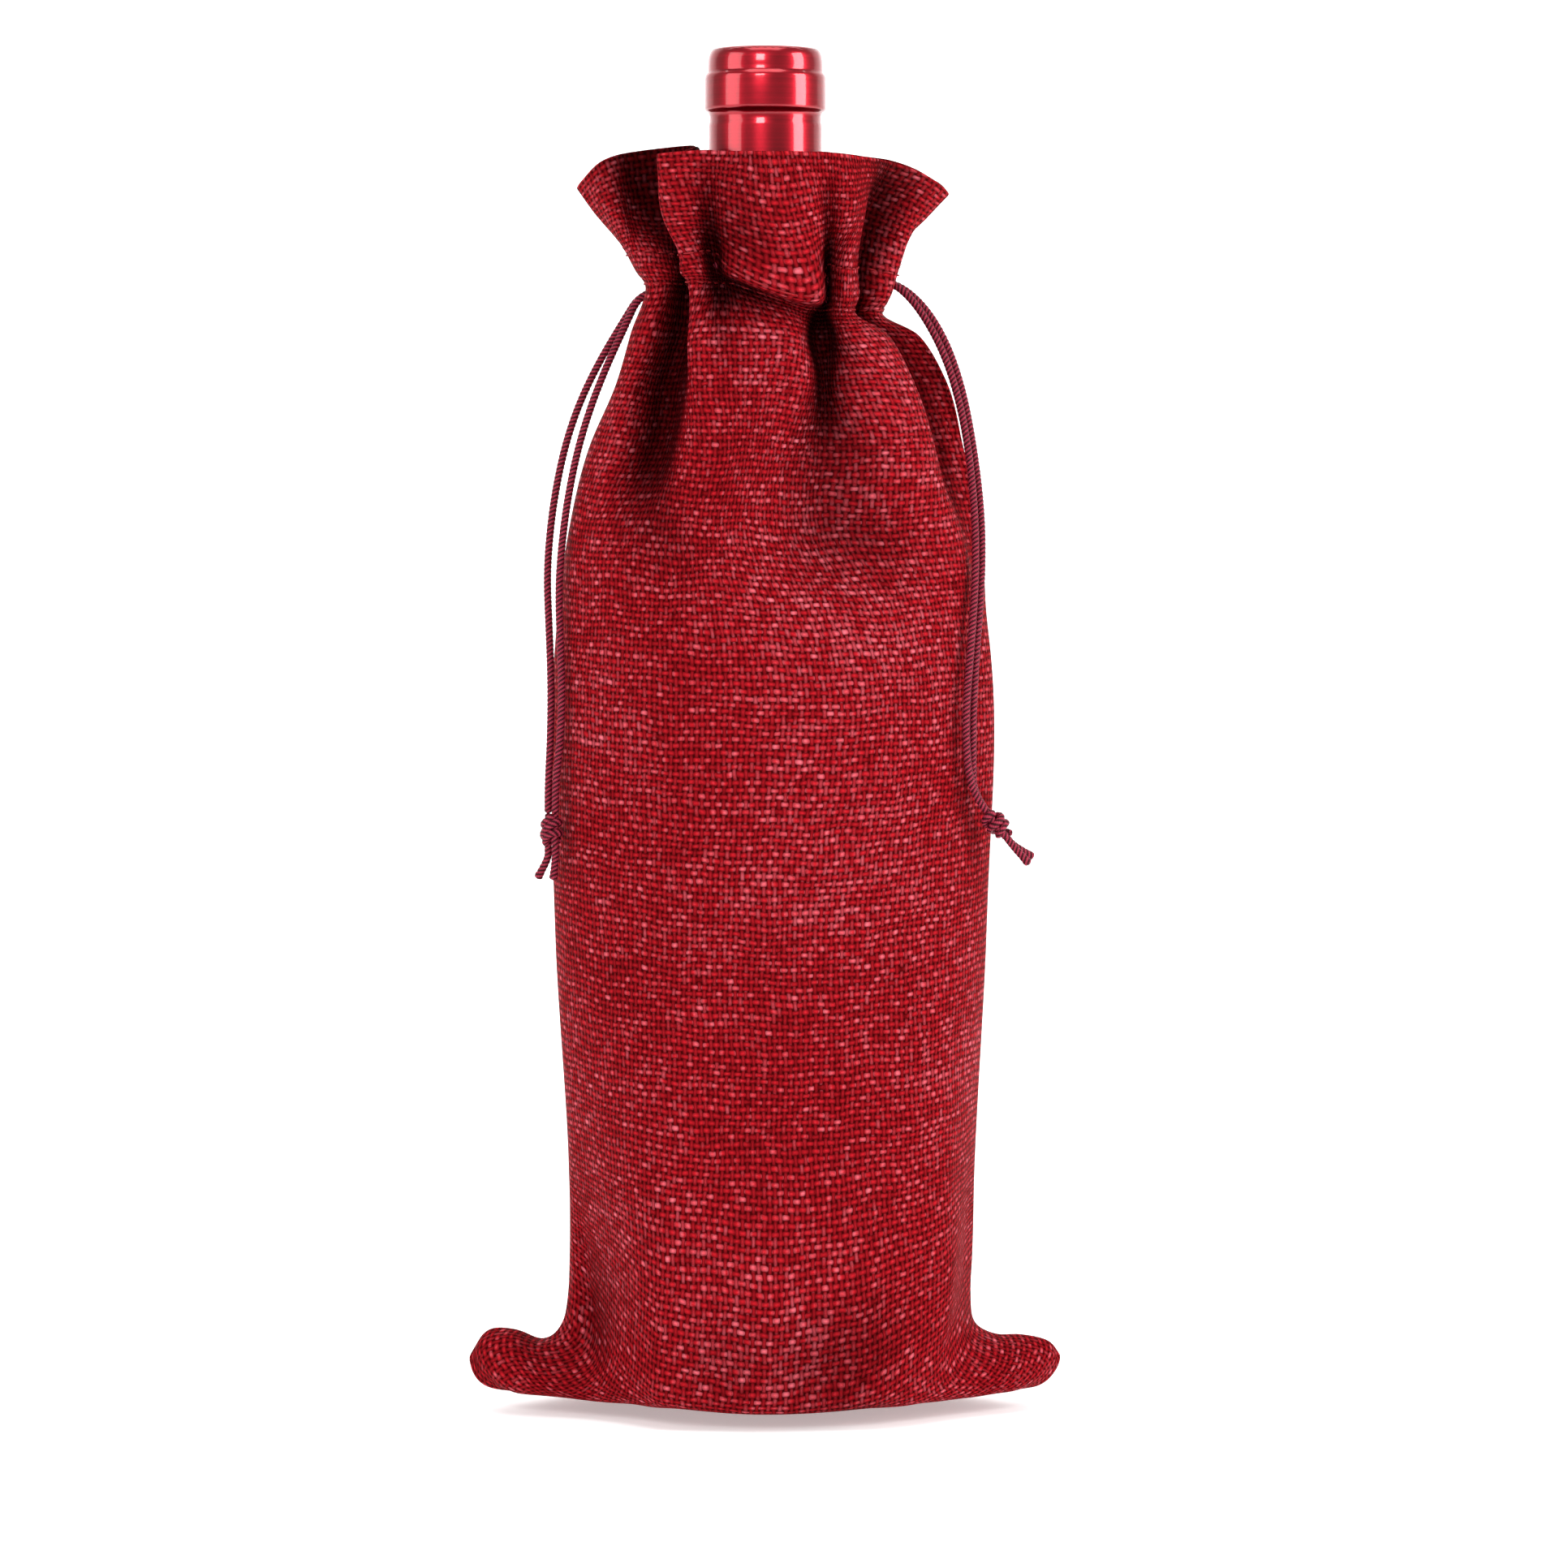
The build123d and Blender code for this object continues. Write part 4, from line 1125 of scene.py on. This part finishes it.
class GIFTBAG_OT_stitches(Operator):
    """Sew the rows of stitches that follow the cloth"""

    bl_idname = "giftbag.stitches"
    bl_label = "Sew stitches"

    def execute(self, context):
        surface = made["surface"]
        thread = sewing_thread(context.scene.giftbag_cloth)
        to_column = COLUMNS / (2 * FLAT_HALF_WIDTH)
        around = np.arange(0, 2 * COLUMNS, STITCH_STEP * to_column)
        up = np.arange(10, CHANNEL_LOW - 8, STITCH_STEP)
        across = SEAM_INSET * to_column
        rows = {}
        for name, place in (("lower_casing_stitches", CHANNEL_LOW - CASING_INSET),
                            ("upper_casing_stitches", CHANNEL_HIGH + CASING_INSET)):
            rows[name] = (surface, [((c, place), (c + STITCH_LENGTH * to_column, place)) for c in around])
        for name, column in (("left_seam_stitches", 0), ("right_seam_stitches", COLUMNS)):
            rows[name] = [((column + s * across, p), (column + s * across, p + STITCH_LENGTH))
                          for p in up for s in (-1, 1)]
        tacks = []
        for column in (0, COLUMNS):
            for place in (CHANNEL_LOW, CHANNEL_HIGH + TACK_RISE):
                for k in range(TACK_THREADS):
                    p = place + TACK_STEP * (k - 1)
                    tacks.append(((column - across, p), (column + across, p)))
        inner = Surface(surface.grid - 2.0 * surface.out, surface.places)
        inner.out = -surface.out
        for name in ("left_seam_stitches", "right_seam_stitches"):
            rows[name] = (inner, rows[name])
        rows["slit_bar_tacks"] = (surface, tacks)
        for name, (follow, ends) in rows.items():
            stitches = stitch_rows(name, follow, ends, THREAD, THREAD_LIFT)
            stand_for(stitches, name, "bag", thread)
        return {"FINISHED"}


class GIFTBAG_OT_base_seam(Operator):
    """Make the seam allowance pressed open across the base"""

    bl_idname = "giftbag.base_seam"
    bl_label = "Make base seam"

    def execute(self, context):
        low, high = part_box("bottom_seam")
        centre, size = 0.5 * (low + high), high - low
        bpy.ops.mesh.primitive_cube_add(size=1, location=(0, 0, 0))
        seam = context.active_object
        bpy.ops.object.mode_set(mode="EDIT")
        bpy.ops.mesh.select_all(action="SELECT")
        bpy.ops.transform.resize(value=tuple(size), center_override=(0, 0, 0))
        bpy.ops.transform.translate(value=tuple(centre))
        bpy.ops.mesh.subdivide(number_cuts=24)
        bpy.ops.uv.cube_project(cube_size=1.0)
        bpy.ops.object.mode_set(mode="OBJECT")
        stand_for(seam, "bottom_seam", "bag", made["cloth_material"])
        return {"FINISHED"}


class GIFTBAG_OT_bottle(Operator):
    """Finish the glass, the wine, the cork and the foil capsule"""

    bl_idname = "giftbag.bottle"
    bl_label = "Finish bottle"

    def turned(self, context, outline, sides=128):
        """A shell turned from an outline of radius and height, in millimetres."""
        radius, height = outline[0]
        bpy.ops.mesh.primitive_circle_add(vertices=sides, radius=radius * MM, location=(0, 0, 0))
        piece = context.active_object
        bpy.ops.object.mode_set(mode="EDIT")
        bpy.ops.mesh.select_all(action="SELECT")
        bpy.ops.transform.translate(value=(0, 0, height * MM))
        for r, z in outline[1:]:
            bpy.ops.mesh.extrude_region_move(TRANSFORM_OT_translate={"value": (0, 0, (z - height) * MM)})
            bpy.ops.transform.resize(value=(r / radius, r / radius, 1), center_override=(0, 0, z * MM))
            radius, height = r, z
        bpy.ops.mesh.select_all(action="SELECT")
        bpy.ops.mesh.normals_make_consistent(inside=False)
        bpy.ops.mesh.faces_shade_smooth()
        bpy.ops.object.mode_set(mode="OBJECT")
        return piece

    def merged(self, piece, distance):
        """The shell with its doubled points joined, its faces outwards."""
        bpy.ops.object.mode_set(mode="EDIT")
        bpy.ops.mesh.select_all(action="SELECT")
        bpy.ops.mesh.remove_doubles(threshold=distance)
        bpy.ops.mesh.normals_make_consistent(inside=False)
        bpy.ops.object.mode_set(mode="OBJECT")
        return piece

    def execute(self, context):
        settings = context.scene.giftbag_bottle
        foil = metallic_foil(settings)
        skirt_outline = [
            (14.4, 287.0), (14.7, 287.05), (14.68, 292), (14.62, 300), (14.6, 312), (14.6, 327.2), (14.55, 327.8),
            (14.42, 328.3), (14.38, 329.4), (14.45, 330.3), (14.75, 330.9), (15.3, 331.2), (15.55, 331.6),
            (15.6, 332.3), (15.6, 336), (15.58, 339.4), (15.5, 340.1), (15.2, 340.6), (14.9, 340.95),
            (14.78, 341.5), (14.78, 342.6), (14.7, 344.2), (14.5, 345.3), (14.2, 346.15), (13.8, 346.75),
            (13.3, 347.02), (12.98, 347.06), (12.9, 346.95), (12.9, 346.8), (13.6, 346.4), (14.2, 344.4),
            (14.45, 341.6), (15.1, 339.8), (15.25, 332.2), (14.2, 331.0), (14.1, 328.6), (14.3, 327.0),
            (14.35, 300), (14.4, 287.0),
        ]
        disc_outline = [
            (0.01, 346.85), (12.85, 346.85), (12.93, 347.0), (12.7, 347.15), (9, 347.42), (5, 347.55),
            (0.01, 347.6),
        ]
        skirt = self.merged(self.turned(context, skirt_outline), 0.000001)
        disc = self.merged(self.turned(context, disc_outline), 0.00003)
        stand_for(skirt, "capsule_skirt", "bottle", foil)
        stand_for(disc, "capsule_disc", "bottle", foil)
        finishes = {
            "bottle_glass": (bottle_glass(), "bottle_glass"), "wine": (red_wine(), "wine"),
            "cork": (natural_cork(), "cork"),
        }
        for node, (material, slot) in finishes.items():
            paint(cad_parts[node], material)
        return {"FINISHED"}


class GIFTBAG_OT_declare(Operator):
    bl_idname = "giftbag.declare"
    bl_label = "Declare cloth"

    def execute(self, context):
        return {"FINISHED"}


class GIFTBAG_OT_stage(Operator):
    """Set the floor, the backdrop and the lights"""

    bl_idname = "giftbag.stage"
    bl_label = "Set stage"

    def light(self, context, name, spot, target, size, power):
        data = bpy.data.lights.new(name, "AREA")
        data.shape = "RECTANGLE"
        data.size, data.size_y = size
        data.energy = power
        lamp = bpy.data.objects.new(name, data)
        context.scene.collection.objects.link(lamp)
        lamp.location = spot
        lamp.rotation_euler = (Vector(target) - Vector(spot)).to_track_quat("-Z", "Y").to_euler()

    def execute(self, context):
        settings = context.scene.giftbag_stage
        g = Graph("pale_stage")
        grain = g.noise(g.coords.outputs["Object"], 300, 2)
        g.colour(g.ramp(grain, [(0.2, (0.93, 0.93, 0.93)), (0.8, (0.96, 0.96, 0.96))]))
        g.set(Roughness=0.9, Specular_IOR_Level=0.1, Emission_Color=(1, 1, 1, 1), Emission_Strength=0.36)
        path = [(-2.6, 0), (1.2, 0), (1.6, 0.06), (1.9, 0.25), (2.05, 0.6), (2.1, 3.2)]
        line = evenly(smooth_line(path), 60)
        points = [(x, y, z) for y, z in line for x in (-4.0, 4.0)]
        floor = new_piece("floor", points, [(2 * i, 2 * i + 1, 2 * i + 3, 2 * i + 2) for i in range(60)])
        paint(floor, g.material)
        target = (0, 0, 0.19)
        power = settings.key_power
        self.light(context, "left_softbox", (-1.3, -0.6, 0.62), target, (0.8, 1.0), 0.6 * power)
        self.light(context, "right_softbox", (1.35, -0.45, 0.55), target, (0.6, 1.0), 1.3 * power)
        self.light(context, "front_softbox", (-0.3, -1.7, 0.95), target, (0.5, 0.5), 0.9 * power)
        self.light(context, "top_softbox", (0.0, -0.35, 1.35), target, (1.0, 0.8), 0.5 * power)
        self.light(context, "backdrop_light", (0.0, 0.5, 1.6), (0, 2.0, 0.5), (2.2, 0.8), 1.5 * power)
        world = bpy.data.worlds.new("studio")
        world.use_nodes = True
        world.node_tree.nodes["Background"].inputs[0].default_value = (1, 1, 1, 1)
        world.node_tree.nodes["Background"].inputs[1].default_value = 0.26
        context.scene.world = world
        context.scene.view_settings.view_transform = "Standard"
        return {"FINISHED"}


class GIFTBAG_PT_panel(Panel):
    """Gift bag controls"""

    bl_idname = "GIFTBAG_PT_panel"
    bl_label = "Gift Bag"
    bl_space_type = "VIEW_3D"
    bl_region_type = "UI"
    bl_category = "Gift Bag"

    def draw(self, context):
        layout = self.layout
        for group, _ in GROUPS:
            box = layout.box()
            settings = getattr(context.scene, group)
            for name in settings.__annotations__:
                box.prop(settings, name)
        for operator in STEPS:
            layout.operator(operator.bl_idname)


GROUPS = [
    ("giftbag_cloth", GIFTBAG_PG_cloth), ("giftbag_cord", GIFTBAG_PG_cord),
    ("giftbag_bottle", GIFTBAG_PG_bottle), ("giftbag_stage", GIFTBAG_PG_stage),
]
STEPS = [
    GIFTBAG_OT_camera, GIFTBAG_OT_drawstrings, GIFTBAG_OT_panels, GIFTBAG_OT_linings,
    GIFTBAG_OT_channel_cords, GIFTBAG_OT_stitches, GIFTBAG_OT_base_seam, GIFTBAG_OT_bottle,
    GIFTBAG_OT_declare, GIFTBAG_OT_stage,
]


def register():
    for cls in [group for _, group in GROUPS] + STEPS + [GIFTBAG_PT_panel]:
        bpy.utils.register_class(cls)
    for name, group in GROUPS:
        setattr(bpy.types.Scene, name, PointerProperty(type=group))


def unregister():
    for name, _ in GROUPS:
        delattr(bpy.types.Scene, name)
    for cls in reversed([group for _, group in GROUPS] + STEPS + [GIFTBAG_PT_panel]):
        bpy.utils.unregister_class(cls)


def main():
    register()
    for step in STEPS:
        group, name = step.bl_idname.split(".")
        getattr(getattr(bpy.ops, group), name)()


if __name__ == "__main__":
    main()
